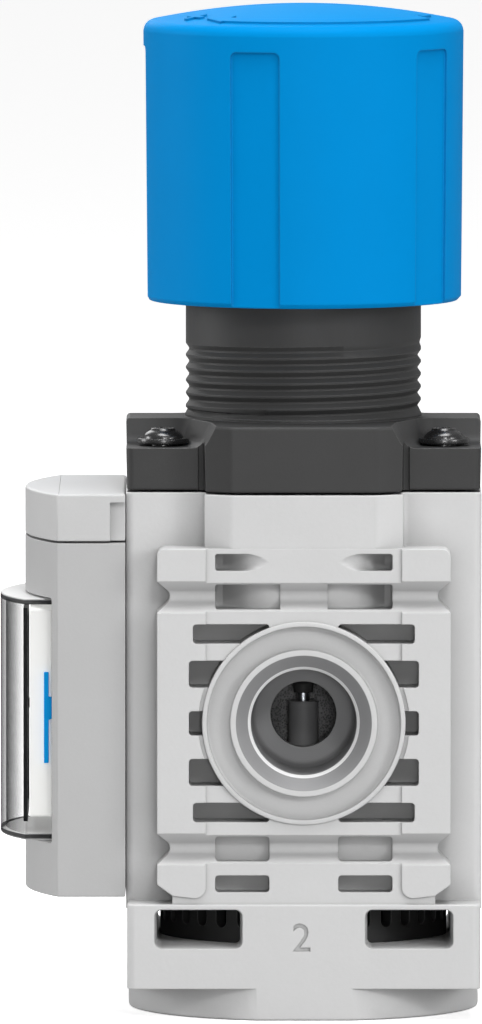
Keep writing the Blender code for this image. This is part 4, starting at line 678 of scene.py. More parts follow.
@dataclass(frozen=True)
class TurnedMetal(Finish):
    """Bar turned or bored on a lathe.

    Fine rings of the tool's feed, a fifth of a millimetre apart, stretch its highlights. They are drawn that
    coarse because the real feed is too fine to show.
    """

    name: str = "bored_aluminium"
    colour: str = "#929293"
    roughness: float = 0.6
    metallic: float = 0.2
    grain: float = 0.2
    relief: float = 0.004
    mottle: float = 0.05
    edge_light: float = 0.1
    axis: Axis = Axis.Y
    height: float = 0.0

    def grains(self, tree: Tree, place: Socket) -> Socket:
        """The rings that the tool left.

        Args:
            tree: The material's tree.
            place: Place on the piece, in metres.

        Returns:
            Their height, from nought to one.
        """
        split = add(tree, "ShaderNodeSeparateXYZ", {"Vector": place})
        drop = self.height * MM if "Z" in self.axis.value else 0.0
        sunk = calculate(tree, "SUBTRACT", split.outputs[self.axis.value[1]], drop)
        flat = add(tree, "ShaderNodeCombineXYZ", {"X": split.outputs[self.axis.value[0]], "Y": sunk})
        radius = add(tree, "ShaderNodeVectorMath", {0: flat.outputs[0]}, operation="LENGTH")
        run = calculate(tree, "ADD", radius.outputs["Value"], split.outputs[self.axis.name])
        wave = calculate(tree, "SINE", calculate(tree, "MULTIPLY", run, 2 * math.pi * per_metre(self.grain)))
        chatter = add(tree, "ShaderNodeTexNoise", {"Vector": place, "Scale": per_metre(1.5)})
        return remap(tree, calculate(tree, "MULTIPLY", wave, chatter.outputs["Fac"]), (-1.0, 1.0), (0.0, 1.0))


@dataclass(frozen=True)
class MouldedPlastic(Finish):
    """Thermoplastic from a spark eroded mould.

    The mould's fine pitting, a fifth of a millimetre across, leaves it matt to satin, with soft highlights.
    """

    grain: float = 0.2
    relief: float = 0.006
    mottle: float = 0.02
    specular: float = 0.3


@dataclass(frozen=True)
class PlatedSteel(Finish):
    """Spring and machining steel with a bright zinc layer.

    The layer clouds the shine over a millimetre or two and runs to pale blue.
    """

    name: str = "bright_zinc_plated_steel"
    colour: str = "#C3C7CC"
    roughness: float = 0.3
    metallic: float = 1.0
    grain: float = 0.7
    relief: float = 0.003
    mottle: float = 0.08
    patch: float = 2.5


@dataclass(frozen=True)
class BlackenedSteel(Finish):
    """Screws cold headed, hardened and blackened, then oiled.

    Oil fills the black layer, so it shines nearly like lacquer.
    """

    name: str = "oiled_black_oxide_steel"
    colour: str = "#121213"
    roughness: float = 0.27
    specular: float = 1.0
    grain: float = 0.3
    relief: float = 0.0
    mottle: float = 0.12
    edge_light: float = 0.0
    edge: float = 0.06
    painted_crevice_shade: float = 0.0


@dataclass(frozen=True)
class Rubber(Finish):
    """Nitrile rubber pressed in a steel mould.

    Nearly black and dry, with a bloom that greys it in patches.
    """

    name: str = "pressed_nitrile_rubber"
    colour: str = "#1D1D1E"
    roughness: float = 0.68
    grain: float = 0.3
    relief: float = 0.01
    mottle: float = 0.15
    patch: float = 4.0
    specular: float = 0.3


@dataclass(frozen=True)
class ClearPlastic(Finish):
    """Polycarbonate moulded clear in a polished mould.

    It shows what is behind it where it faces the eye. Where it is seen along its wall, at its limb and in the
    bands of its top and its bottom, a painted shade greys it, and its flat top and bottom are painted pale as
    a painted reflection.
    """

    name: str = "clear_moulded_polycarbonate"
    # The dark grey of the painted shade at its limb and in its bands.
    colour: str = "#2E2F30"
    roughness: float = 0.16
    specular: float = 0.0
    grain: float = 2.5
    relief: float = 0.0008
    mottle: float = 0.01
    edge: float = 0.12
    edge_light: float = 0.0
    roughness_spread: float = 0.02
    # plate is the painted reflection on its flat top and bottom; limb, band and shelf are how opaque the
    # painted shade at the limb, the painted shade in the bands and the flat faces grow.
    plate: str = "#E4E4E4"
    limb: float = 0.84
    band: float = 0.94
    shelf: float = 0.92
    middle: float = 35.05
    half_height: float = 14.3
    wall: float = 0.65

    def dress(self, tree: Tree, shader: bpy.types.Node, place: Socket) -> None:
        """Feeds the shader and lets light through it.

        Args:
            tree: The material's tree.
            shader: Its shader.
            place: Place on the piece, in metres.
        """
        super().dress(tree, shader, place)
        # Painted shade: the limb grows opaque in the dark colour where the surface turns away from the eye.
        facing = add(tree, "ShaderNodeLayerWeight", {"Blend": 0.5}).outputs["Facing"]
        limb = remap(tree, facing, (0.52, 1.0), (0.0, self.limb))
        across = add(tree, "ShaderNodeNewGeometry").outputs["Normal"]
        level = calculate(tree, "ABSOLUTE", add(tree, "ShaderNodeSeparateXYZ", {0: across}).outputs["Z"])
        # Painted reflection: faces that point up or down take the pale colour.
        painted_reflection_mix = add(tree, "ShaderNodeMix", {0: level, 6: linear(self.colour), 7: linear(self.plate)},
                      data_type="RGBA")
        tree.links.new(painted_reflection_mix.outputs[2], shader.inputs["Base Color"])
        # Painted shade: the bands of the top and bottom walls, seen along the wall, grow opaque in the dark
        # colour.
        height = add(tree, "ShaderNodeSeparateXYZ", {"Vector": place}).outputs["Z"]
        away = calculate(tree, "ABSOLUTE", calculate(tree, "SUBTRACT", height, self.middle * MM))
        inside = (self.half_height - self.wall) * MM
        band = remap(tree, away, (inside - 0.05 * MM, inside), (0.0, self.band))
        side = calculate(tree, "MAXIMUM", limb, band)
        alpha = add(tree, "ShaderNodeMix", {0: level, 2: side, 3: self.shelf})
        tree.links.new(alpha.outputs[0], shader.inputs["Alpha"])


BLACK_NYLON = MouldedPlastic("glass_filled_black_nylon_moulded", "#3A3A3A", 0.52, grain=0.26, relief=0.009,
                             mottle=0.05, edge=0.14, edge_light=0.16, crevice=1.6, painted_crevice_shade=0.6)
PLUG_NYLON = MouldedPlastic("black_nylon_plug_moulded", "#242424", 0.5, grain=0.26, relief=0.009, mottle=0.05)
BLUE_ACETAL = MouldedPlastic("blue_acetal_moulded", "#0089D0", 0.5, specular=0.02, mottle=0.012, edge=0.2,
                             edge_light=0.02, crevice=1.0, painted_crevice_shade=0.5)
# The case's grey is partly its own colour and partly painted shade, darker for the shade that the casting
# throws on it; the cap's paler grey is partly its own colour and partly painted light for its lit top.
GREY_ABS = MouldedPlastic("light_grey_abs_moulded", "#BABABA", 0.46, grain=0.3, relief=0.008, mottle=0.014,
                          edge=0.12, edge_light=0.1)
PALE_ABS = MouldedPlastic("pale_grey_abs_moulded", "#C8C8C8", 0.46, grain=0.3, relief=0.008, mottle=0.014,
                          edge=0.12, edge_light=0.1)
# The dial carrier's white glows faintly: painted light that stands in for the light reaching it through the
# window.
WHITE_ABS = MouldedPlastic("white_abs_moulded", "#FCFCFA", 0.4, mottle=0.004, edge_light=0.0,
                           painted_crevice_shade=0.0, glow=0.16)
BLACK_POLISHED = MouldedPlastic("black_abs_polished", "#0C0C0D", 0.3, relief=0.002, mottle=0.1,
                                edge_light=0.04, specular=0.1)
BLUE_CLIP = MouldedPlastic("blue_abs_clip_moulded", "#00A8FC", 0.4, edge_light=0.02, specular=0.05)
PRINT_BLACK = MouldedPlastic("black_pad_printed_ink", "#161617", 0.4, relief=0.001, edge_light=0.0)
GREY_POM = MouldedPlastic("grey_acetal_poppet_moulded", "#7E7E7F", 0.5, mottle=0.03)
# Near-white cut aluminium for the lip of each port's thread: partly the bright cut metal, partly a painted
# highlight that stands in for the lit wall of the bore.
TAPPED_HIGHLIGHT = TurnedMetal("cut_aluminium_painted_highlight", "#F0F0F0", 0.5, 0.0, height=35.2)
TURNED_BRASS = TurnedMetal("free_cutting_brass_turned", "#C9A45C", 0.28, axis=Axis.Z, mottle=0.06)
TURNED_BRASS_NIPPLE = TurnedMetal("free_cutting_brass_turned_nipple", "#C9A45C", 0.28, axis=Axis.X,
                                  height=35.2, mottle=0.06)
DRAWN_BRONZE = PlatedSteel("drawn_phosphor_bronze_tube", "#B98A55", 0.32, mottle=0.1)


def dress(piece: Piece, *finishes: Material) -> Piece:
    """Gives a piece its materials and its smooth shading.

    Args:
        piece: The piece.
        *finishes: One material for each slot.

    Returns:
        The piece.
    """
    piece.data.materials.clear()
    for finish in finishes:
        piece.data.materials.append(finish)
    piece.data.shade_smooth()
    piece.data.set_sharp_from_angle(angle=SHARP_ANGLE)
    weighted = piece.modifiers.new("weighted_normals", "WEIGHTED_NORMAL")
    weighted.keep_sharp = True
    weighted.mode = "FACE_AREA"
    return piece


def seat(piece: Piece, body: str, slot: str, *nodes: str) -> Piece:
    """Puts a piece on its body in place of its nodes.

    Args:
        piece: The piece.
        body: The body it rides on.
        slot: The record's slot that its finish comes from; not used.
        *nodes: The solids it stands for.

    Returns:
        The piece.
    """
    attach(piece, body)
    if nodes:
        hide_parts(*nodes)
    log.info("%s: %d faces on %s, for %s", piece.name, len(piece.data.polygons), body, ", ".join(nodes)
             or "no node")
    return piece


@dataclass
class Studio:
    """White sweep, soft boxes and the camera, level with the object and a little above it."""

    aim: Triple = (-7.4, 0.0, 58.7)
    stand: Triple = (-7.4, -2414.0, 238.0)
    lens: float = 717.0
    sensor: float = 36.0
    ground: float = 3000.0
    paper_glow: float = 0.55
    sky: float = 0.38
    bounce: str = "#A8A8A8"
    boxes: tuple[tuple[Triple, float, float], ...] = (
        ((860.0, -760.0, 360.0), 420.0, 3.9),
        ((240.0, -1400.0, 780.0), 240.0, 3.6),
        ((60.0, -1700.0, 160.0), 200.0, 4.2),
        ((-900.0, 160.0, 260.0), 420.0, 2.9),
        ((20.0, -120.0, 900.0), 560.0, 6.4),
        ((-260.0, 760.0, 480.0), 500.0, 1.6),
    )

    def build(self) -> None:
        """Sets the view transform and builds the light, the ground and the camera."""
        bpy.context.scene.view_settings.view_transform = "Standard"
        self.light()
        self.floor()
        self.camera()

    def light(self) -> None:
        """A near white sky, brighter above, and the soft boxes."""
        world = bpy.data.worlds.new("white_sweep")
        bpy.context.scene.world = world
        world.use_nodes = True
        tree = world.node_tree
        height = add(tree, "ShaderNodeSeparateXYZ",
                     {0: add(tree, "ShaderNodeTexCoord").outputs["Generated"]}).outputs["Z"]
        sky = ramp(tree, height, [(0.0, (0.95, 0.955, 0.96, 1.0)), (0.6, (1.0, 1.0, 1.0, 1.0))])
        background = tree.nodes["Background"]
        tree.links.new(sky.outputs["Color"], background.inputs["Color"])
        seen = add(tree, "ShaderNodeLightPath").outputs["Is Camera Ray"]
        tree.links.new(remap(tree, seen, (0.0, 1.0), (self.sky, 1.0)), background.inputs["Strength"])
        for number, (place, size, power) in enumerate(self.boxes, 1):
            lamp = bpy.data.lights.new(f"soft_box_{number}", "AREA")
            lamp.shape = "DISK"
            lamp.size = size * MM
            lamp.energy = power
            holder = placed(lamp.name, lamp)
            holder.location = Vector(place) * MM
            holder.rotation_euler = (Vector(self.aim) - Vector(place)).to_track_quat("-Z", "Y").to_euler()

    def floor(self) -> None:
        """A pale sheet of paper under the object."""
        half = self.ground
        bm = bmesh.new()
        bm.faces.new([bm.verts.new(point) for point in ((-half, -half, 0), (half, -half, 0), (half, half, 0),
                                                        (-half, half, 0))])
        sheet = as_piece("paper_floor", bm)
        paper = bpy.data.materials.new("white_card")
        paper.use_nodes = True
        tree = paper.node_tree
        shader = tree.nodes["Principled BSDF"]
        place = add(tree, "ShaderNodeTexCoord").outputs["Object"]
        fibres = add(tree, "ShaderNodeTexNoise", {"Vector": place, "Scale": per_metre(4.0), "Detail": 3.0})
        tone = ramp(tree, fibres.outputs["Fac"], [(0.3, linear("#FCFCFC")), (0.7, linear("#FFFFFF"))])
        seen = add(tree, "ShaderNodeLightPath").outputs["Is Camera Ray"]
        sent = add(tree, "ShaderNodeMix", {0: seen, 6: linear(self.bounce), 7: tone.outputs["Color"]},
                   data_type="RGBA")
        tree.links.new(sent.outputs[2], shader.inputs["Base Color"])
        shader.inputs["Roughness"].default_value = 0.9
        shader.inputs["Emission Color"].default_value = (1.0, 1.0, 1.0, 1.0)
        glow = remap(tree, seen, (0.0, 1.0), (0.0, self.paper_glow))
        tree.links.new(glow, shader.inputs["Emission Strength"])
        sheet.data.materials.append(paper)

    def camera(self) -> None:
        """A long lens at the distance that the object's own perspective gives."""
        data = bpy.data.cameras.new("camera")
        data.lens = self.lens
        data.sensor_width = self.sensor
        data.clip_end = 20.0
        camera = placed("camera", data)
        camera.location = Vector(self.stand) * MM
        camera.rotation_euler = (Vector(self.aim) - Vector(self.stand)).to_track_quat("-Z", "Y").to_euler()
        bpy.context.scene.camera = camera


@dataclass
class Body:
    """Levels and plan that the casting, its bonnet and the pieces on them share."""

    face: float = 20.0
    half_width: float = 21.0
    core_depth: float = 14.5
    core_corner: float = 1.0
    column_half_width: float = 11.7
    column_flat: float = 8.3
    column_front: float = 19.6
    column_root: float = 0.7
    top: float = 62.1
    axis: float = 35.2
    plate_low: float = 62.35
    plate_top: float = 70.2
    screw_x: float = 16.6
    screw_y: float = 9.1
    screw_bore: float = 1.7
    screw_depth: float = 12.0
    plan_steps: int = 6
    clearance: float = 0.25

    def plan(self) -> Outline:
        """Plan of the casting and the bonnet, a core with a bowed column on its front and back.

        Returns:
            The closed outline.
        """
        steps = self.plan_steps
        bow = math.hypot(self.column_flat, self.column_front)
        start = -math.acos(self.column_flat / bow)
        end = -math.acos(self.column_half_width / bow)
        root = (self.column_half_width + self.column_root, -self.core_depth - self.column_root)
        corner = (self.half_width - self.core_corner, -self.core_depth + self.core_corner)
        quarter = [(self.column_flat, -self.column_front)] + arc((0, 0), bow, start, end, steps)[1:]
        quarter += arc(root, self.column_root, math.pi, math.pi / 2, steps)
        quarter += arc(corner, self.core_corner, -math.pi / 2, 0, steps)
        back = [(x, -y) for x, y in reversed(quarter)]
        return quarter + back + [(-x, -y) for x, y in quarter] + [(-x, -y) for x, y in back]

    def screws(self) -> list[Pair]:
        """Places of the four bonnet screws."""
        return [(x, y) for x in (-self.screw_x, self.screw_x) for y in (-self.screw_y, self.screw_y)]

    def screw_holes(self, low: float, high: float) -> list[Piece]:
        """The cutters of the holes of the four screws, from one height to another."""
        return [cylinder("screw_hole", self.screw_bore, low, high, 32, centre=place)
                for place in self.screws()]


@dataclass
class Housing:
    """Die cast body with its two port pads, its base and every bore."""

    body: Body
    base_low: float = 3.75
    base_top: float = 13.8
    skirt_radius: float = 20.75
    pad_half_width: float = 17.3
    pad_half_height: float = 20.6
    pad_foot: float = 15.5
    ear_face: float = 19.95
    pad_face: float = 19.65
    ear_inner: float = 11.55
    ear_foot: float = 0.55
    ear_round: float = 1.3
    ear_rise: float = 2.3
    foot_rise: float = 1.0
    groove_centre: float = 14.9
    groove_height: float = 3.75
    groove_depth: float = 2.1
    flank_depth: float = 1.5
    groove_root: float = 0.9
    web_depth: float = 5.4
    slot_depth: float = 3.6
    pocket_corner: float = 0.42
    pocket_inner: float = 4.05
    web_pockets: tuple[Triple, ...] = ((13.07, 9.4, 11.7), (13.55, 4.2, 7.4))
    slot_pocket: Triple = (10.45, 18.0, 20.0)
    groove_pocket: Triple = (10.45, 13.42, 16.38)
    slide_edge: float = 0.2
    slide_start: float = 9.2
    slide_run: float = 5.4
    slide_stations: tuple[float, ...] = (8.6, 7.6, 6.8, 6.0, 5.3, 4.7, 4.2, 3.8, 3.3, 2.8)
    side_pocket: float = 1.45
    boss_radius: float = 12.0
    boss_moat: float = 12.45
    boss_rim: float = 0.55
    ring_radius: float = 8.66
    recess: float = 1.2
    chamfer_radius: float = 8.0
    chamfer: float = 1.3
    thread_major: float = 6.6
    thread_minor: float = 6.25
    thread_pitch: float = 1.337
    bore_radius: float = 5.9
    bore_depth: float = 13.1
    lead_in: float = 0.45
    passage: float = 3.9
    feed: float = 3.0
    feed_offset: float = 9.6
    feed_low: float = 22.95
    signal: float = 1.5
    nipple_bore: float = 2.95
    nipple_depth: float = 3.25
    diaphragm_seat: Pair = (16.7, 1.9)
    diaphragm_room: Pair = (13.8, 5.7)
    guide_head: Pair = (5.25, 1.05)
    guide_bore: float = 4.0
    cross_room: float = 5.2
    cross_room_levels: Pair = (30.95, 39.45)
    seat_bore: float = 3.45
    seat_ring: float = 6.0
    seat_levels: Pair = (30.7, 27.95)
    valve_room: float = 8.0
    plug_bore: float = 17.25
    plug_mouth: float = 17.6
    window: tuple[float, ...] = (7.1, 17.75, 8.4, 13.3)
    window_draft: float = 0.4
    window_throat: float = 2.5
    window_corner: float = 1.0
    numeral_size: float = 4.75
    numeral_depth: float = 0.25
    numeral_height: float = 9.65

    def build(self, paint: Material, bored: Material, raw: Material,
              tapped: Material) -> Piece:
        """Builds the body in place of its solid.

        Args:
            paint: Finish of its outside.
            bored: Finish of the machined bores.
            raw: Finish of the cast passages.
            tapped: Finish of the lip where each port's thread starts, partly bright cut metal and partly a
                painted highlight.

        Returns:
            The piece.
        """
        shell = prism("casting", self.body.plan(), self.base_top - OVERRUN, self.body.top, edge=(0.0, 0.2))
        fuse(shell, *self.base())
        for facing in (Facing.OUTLET, Facing.INLET):
            fuse(shell, self.pad(facing))
            carve(shell, *self.grooves(facing), *self.pockets(facing))
            fuse(shell, self.boss(facing))
            carve(shell, *self.port(facing))
        carve(shell, self.axial_bores(), *self.passages(), *self.windows(),
              *self.body.screw_holes(self.body.top - self.body.screw_depth, self.body.top + OVERRUN))
        carve(shell, *self.numerals())
        shell.name = "cast_housing"
        dress(shell, paint, bored, raw, tapped)
        self.share_out(shell)
        return seat(shell, "housing", "cast_grey", "housing")

    def base(self) -> list[Piece]:
        """The square base and the round skirt under it, cut flat at the port faces."""
        face, half = self.body.face, self.body.half_width
        block = prism("base", rectangle((-half + 0.15, -face), (half - 0.15, face), self.body.core_corner, 8),
                      self.base_low, self.base_top, edge=(0.12, 0.3))
        reach = math.asin(face / self.skirt_radius)
        right = arc((0, 0), self.skirt_radius, -reach, reach, 40)
        left = [(-x, -y) for x, y in right]
        return [block, prism("skirt", right + left, 0.0, self.base_low + OVERRUN, edge=(0.35, 0.0))]

    def pad(self, facing: Facing) -> Piece:
        """One ported pad: raised ears beside its middle, and the ends of the grooves in its sides.

        Args:
            facing: The way its port looks.

        Returns:
            The pad, to be joined to the body.
        """
        axis, foot = self.body.axis, self.base_top
        top = axis + self.pad_half_height
        outline = filleted([(-self.pad_foot, foot - OVERRUN, 0), (self.pad_foot, foot - OVERRUN, 0),
                            (self.pad_foot, foot + self.foot_rise, 0.3),
                            (self.pad_half_width, foot + self.ear_rise, 0.3),
                            (self.pad_half_width, top, 1.0), (-self.pad_half_width, top, 1.0),
                            (-self.pad_half_width, foot + self.ear_rise, 0.3),
                            (-self.pad_foot, foot + self.foot_rise, 0.3)], 5)
        pad = prism("pad", outline, self.body.core_depth - OVERRUN, self.ear_face, facing, edge=(0.0, 0.12))
        above, below = top + OVERRUN, foot - 2 * OVERRUN
        outside = self.pad_half_width + OVERRUN
        right = [(outside, below, 0), (outside, foot + self.ear_rise, 0),
                 (self.pad_foot, foot + self.foot_rise, 0.3),
                 (self.ear_inner, foot + self.ear_foot, self.ear_round), (self.ear_inner, above, 0)]
        relief = prism("relief", filleted(right + [(-x, z, r) for x, z, r in reversed(right)], 8),
                       self.pad_face, self.body.face + OVERRUN, facing)
        moat = cylinder("moat", self.boss_moat, self.pad_face, self.body.face + OVERRUN, 96, facing,
                        (0, axis))
        return carve(pad, relief, moat, *self.flank_grooves(facing))

    def groove_heights(self) -> Pair:
        """Heights of the middle of the two grooves."""
        return self.body.axis - self.groove_centre, self.body.axis + self.groove_centre

    def groove_section(self, surface: float, centre: float, depth: float) -> Outline:
        """Section of a groove: two slopes that meet in a round root.

        Args:
            surface: Where the surface lies that the groove is cut in, on either side of nought.
            centre: Height of its middle.
            depth: How deep it is cut.

        Returns:
            The closed outline, open past the surface.
        """
        sign = math.copysign(1, surface)
        slope = (self.groove_height - self.groove_root) / 2 / depth
        mouth = self.groove_height / 2 + OVERRUN * slope
        floor, above = surface - sign * depth, surface + sign * OVERRUN
        return filleted([(above, centre + mouth, 0), (floor, centre + self.groove_root / 2, 0.9),
                         (floor, centre - self.groove_root / 2, 0.9), (above, centre - mouth, 0)], 6)

    def grooves(self, facing: Facing) -> list[Piece]:
        """The cutters of the grooves across the front of one pad."""
        sign = -1 if facing is Facing.OUTLET else 1
        reach = self.pad_half_width + 2 * OVERRUN
        return [prism("groove", self.groove_section(sign * self.ear_face, height, self.groove_depth), -reach,
                      reach, Facing.SIDE) for height in self.groove_heights()]

    def flank_grooves(self, facing: Facing) -> list[Piece]:
        """The cutters of the same grooves where they run round the sides of one pad."""
        low, high = self.body.core_depth - 0.5, self.body.face + OVERRUN
        return [prism("flank_groove",
                      self.groove_section(side * self.pad_half_width, height, self.flank_depth), low, high,
                      facing) for height in self.groove_heights() for side in (-1, 1)]

    def pockets(self, facing: Facing) -> list[Piece]:
        """The cored pockets of one pad.

        Args:
            facing: The way its port looks.

        Returns:
            Their cutters.
        """
        axis = self.body.axis
        above = self.body.face + OVERRUN
        boxes = []
        for half, start, end in self.web_pockets:
            boxes += [(half, axis + start, axis + end, self.web_depth),
                      (half, axis - end, axis - start, self.web_depth)]
        boxes.append((self.web_pockets[-1][0], axis - self.side_pocket, axis + self.side_pocket,
                      self.web_depth))
        half, start, end = self.slot_pocket
        boxes.append((half, axis - end, axis - start, self.slot_depth))
        half, start, end = self.groove_pocket
        boxes.append((half, axis - end, axis - start, self.groove_depth + 0.7))
        cutters = []
        for half, low, high, depth in boxes:
            outline = rectangle((self.pocket_inner, low), (half, high), self.pocket_corner)
            cutters += [prism("pocket", shape, self.body.face - depth, above, facing)
                        for shape in (outline, mirrored(outline))]
        for side in (-1, 1):
            cutters.append(self.sliding_pocket(self.slot_pocket, side, facing, self.pad_face, 3.4, 0.95))
            cutters.append(self.sliding_pocket(self.groove_pocket, side, facing,
                                               self.ear_face - self.groove_depth - 0.15, 3.0, 0.4))
        return cutters

    def sliding_pocket(self, row: Triple, side: int, facing: Facing, surface: float,
                       depth: float, round_off: float) -> Piece:
        """A pocket whose floor climbs to the surface at its inner end, over the round wall behind it.

        Args:
            row: Its outer half width, low and high edge from the port axis.
            side: Which side of the port it lies on, minus one or one.
            facing: The way its port looks.
            surface: Where its floor comes out.
            depth: How deep it starts.
            round_off: Radius between its floor and its sides.

        Returns:
            Its cutter.
        """
        half, start, end = row
        low, high = self.body.axis + start, self.body.axis + end
        above = self.body.face + 3 * OVERRUN
        rings = []
        for x in (half, half - self.slide_edge, half - 0.9, *self.slide_stations):
            climb = min(max((self.slide_start - x) / self.slide_run, 0.0), 1.0)
            bottom = surface - depth * (1 - climb) ** 2.0
            section = filleted([(bottom, low, round_off), (bottom, high, round_off), (above, high, 0),
                                (above, low, 0)], 5)
            if x == half:
                section = inset(section, self.slide_edge)
            rings.append([facing.place(side * x, z, height) for height, z in section])
        return loft("sliding_pocket", rings)

    def boss(self, facing: Facing) -> Piece:
        """The round boss of one port.

        Args:
            facing: The way its port looks.

        Returns:
            The boss, to be joined to the body.
        """
        back = self.body.face - self.web_depth - OVERRUN
        return turned("boss",
                      [(0, back, 0), (self.boss_radius, back, 0), (self.boss_radius, self.body.face, 0.15),
                       (0, self.body.face, 0)], 128, facing, (0, self.body.axis))

    def port(self, facing: Facing) -> list[Piece]:
        """The threaded bore of one port and the seal recess round it.

        Args:
            facing: The way its port looks.

        Returns:
            Their cutters.
        """
        face, centre = self.body.face, (0, self.body.axis)
        tap = face - self.chamfer
        bore = turned("bore", [(0, face + OVERRUN, 0), (self.chamfer_radius + 0.02, face + OVERRUN, 0),
                               (self.chamfer_radius + 0.02, face, 0), (self.thread_major, tap, 0.06),
                               (self.thread_minor, tap - self.lead_in, 0.06),
                               (self.thread_minor, face - self.bore_depth + 1.2, 0.3),
                               (self.bore_radius, face - self.bore_depth, 0.6),
                               (0, face - self.bore_depth, 0)], 128, facing, centre)
        recess = turned("recess", [
            (self.ring_radius, face + OVERRUN, 0), (self.boss_radius - self.boss_rim, face + OVERRUN, 0),
            (self.boss_radius - self.boss_rim, face - self.recess, 0.35),
            (self.ring_radius, face - self.recess, 0.35)], 128, facing, centre)
        return [bore, recess, self.thread(facing)]

    def thread(self, facing: Facing) -> Piece:
        """The helical cutter of the port's internal thread.

        Args:
            facing: The way its port looks.

        Returns:
            Its cutter.
        """
        start = self.body.face - self.chamfer - self.lead_in - 0.4
        turns, steps = 7.0, 48
        rings = []
        for i in range(int(turns * steps) + 1):
            angle = 2 * math.pi * i / steps
            height = start - self.thread_pitch * i / steps
            fade = min(1.0, (turns * steps - i) / steps)
            crest = self.thread_minor - 0.25 + (self.thread_major - self.thread_minor + 0.25) * fade
            half = self.thread_pitch * 0.3
            ring = []
            for radius, shift in ((self.thread_minor - 0.3, -half), (crest, -0.06), (crest, 0.06),
                                  (self.thread_minor - 0.3, half)):
                ring.append(facing.place(radius * math.cos(angle), self.body.axis + radius * math.sin(angle),
                                         height + shift))
            rings.append(ring)
        return loft("port_thread", rings)

    def axial_bores(self) -> Piece:
        """Everything bored on the knob's axis, from the diaphragm's seat down to the base plug."""
        top, gap = self.body.top, self.body.clearance
        (seat_radius, seat_depth), (room, room_depth) = self.diaphragm_seat, self.diaphragm_room
        floor, shelf = top - room_depth, top - seat_depth
        head, head_depth = self.guide_head
        low, high = self.cross_room_levels
        ledge, ring_low = self.seat_levels
        return turned("axial_bores",
                      [(0, top + OVERRUN, 0), (seat_radius, top + OVERRUN, 0), (seat_radius, shelf, 0.2),
                       (room, shelf, 0.2), (room, floor, 0.8), (head, floor, 0),
                       (head, floor - head_depth, 0), (self.guide_bore, floor - head_depth, 0),
                       (self.guide_bore, high, 0), (self.cross_room, high, 0.4), (self.cross_room, low, 0.4),
                       (self.seat_bore, low, 0), (self.seat_bore, ledge, 0), (self.seat_ring, ledge, 0),
                       (self.seat_ring, ring_low, 0), (self.valve_room, ring_low, 0.3),
                       (self.valve_room, self.base_top, 0.2), (self.plug_bore, self.base_top - gap, 0.3),
                       (self.plug_bore, 0.5, 0), (self.plug_mouth, -0.1, 0), (self.plug_mouth, -OVERRUN, 0),
                       (0, -OVERRUN, 0)], 128)

    def passages(self) -> list[Piece]:
        """Passages between the ports and the chambers, and the signal bore of the gauge."""
        face, axis, half = self.body.face, self.body.axis, self.body.half_width
        outlet = cylinder("outlet_passage", self.passage, 0, face - self.bore_depth + OVERRUN, 64,
                          Facing.OUTLET, (0, axis))
        feed = turned("inlet_feed", [(0, self.feed_low, 0), (self.feed, self.feed_low, 0.6),
                                     (self.feed, axis, 0), (0, axis, 0)], 48, centre=(0, self.feed_offset))
        start = half - self.nipple_depth
        signal = turned("signal_bore", [(0, 0, 0), (self.signal, 0, 0), (self.signal, start, 0),
                                        (self.nipple_bore, start, 0), (self.nipple_bore, half + OVERRUN, 0),
                                        (0, half + OVERRUN, 0)], 48, Facing.GAUGE, (0, axis))
        return [outlet, feed, signal]

    def windows(self) -> list[Piece]:
        """The two exhaust windows, straight through the base."""
        inner, outer, low, high = self.window
        reach = self.body.face + OVERRUN
        outline = rectangle((inner, low), (outer, high), self.window_corner, 8)
        deep = self.body.face - self.window_throat
        cutters = []
        for shape in (outline, mirrored(outline)):
            rings = [(-reach, 0.0), (-deep, self.window_draft), (deep, self.window_draft), (reach, 0.0)]
            cutters.append(loft("window", [[Facing.OUTLET.place(x, z, y) for x, z in inset(shape, away)]
                                           for y, away in rings]))
        return cutters

    def numerals(self) -> list[Piece]:
        """The port numbers sunk in the base, a two at the outlet and a one at the inlet."""
        cutters = []
        for facing, text, across in ((Facing.OUTLET, "2", -0.25), (Facing.INLET, "1", 0.0)):
            cutters.append(lettering("port_number", text, self.numeral_size, (across, self.numeral_height),
                                     self.body.face - self.numeral_depth, self.body.face + OVERRUN, facing))
        return cutters

    def share_out(self, shell: Piece) -> None:
        """Gives the faces inside the ports and the bores their own finishes.

        Args:
            shell: The body.
        """
        for face in shell.data.polygons:
            x, y, z = (value / MM for value in face.center)
            depth = self.body.face - abs(y)
            from_port = math.hypot(x, z - self.body.axis)
            if from_port < self.chamfer_radius and depth < self.bore_depth + 0.2:
                # The lip takes the near-white finish, partly cut metal and partly a painted highlight.
                lip = self.chamfer + 0.05 < depth < self.chamfer + self.lead_in
                face.material_index = 3 if lip else 1 if depth > 0.05 else 0
            elif abs(y) < 12 and (from_port < 8 or math.hypot(x, y) < 17.3) and z > self.base_top - 0.5:
                face.material_index = 2


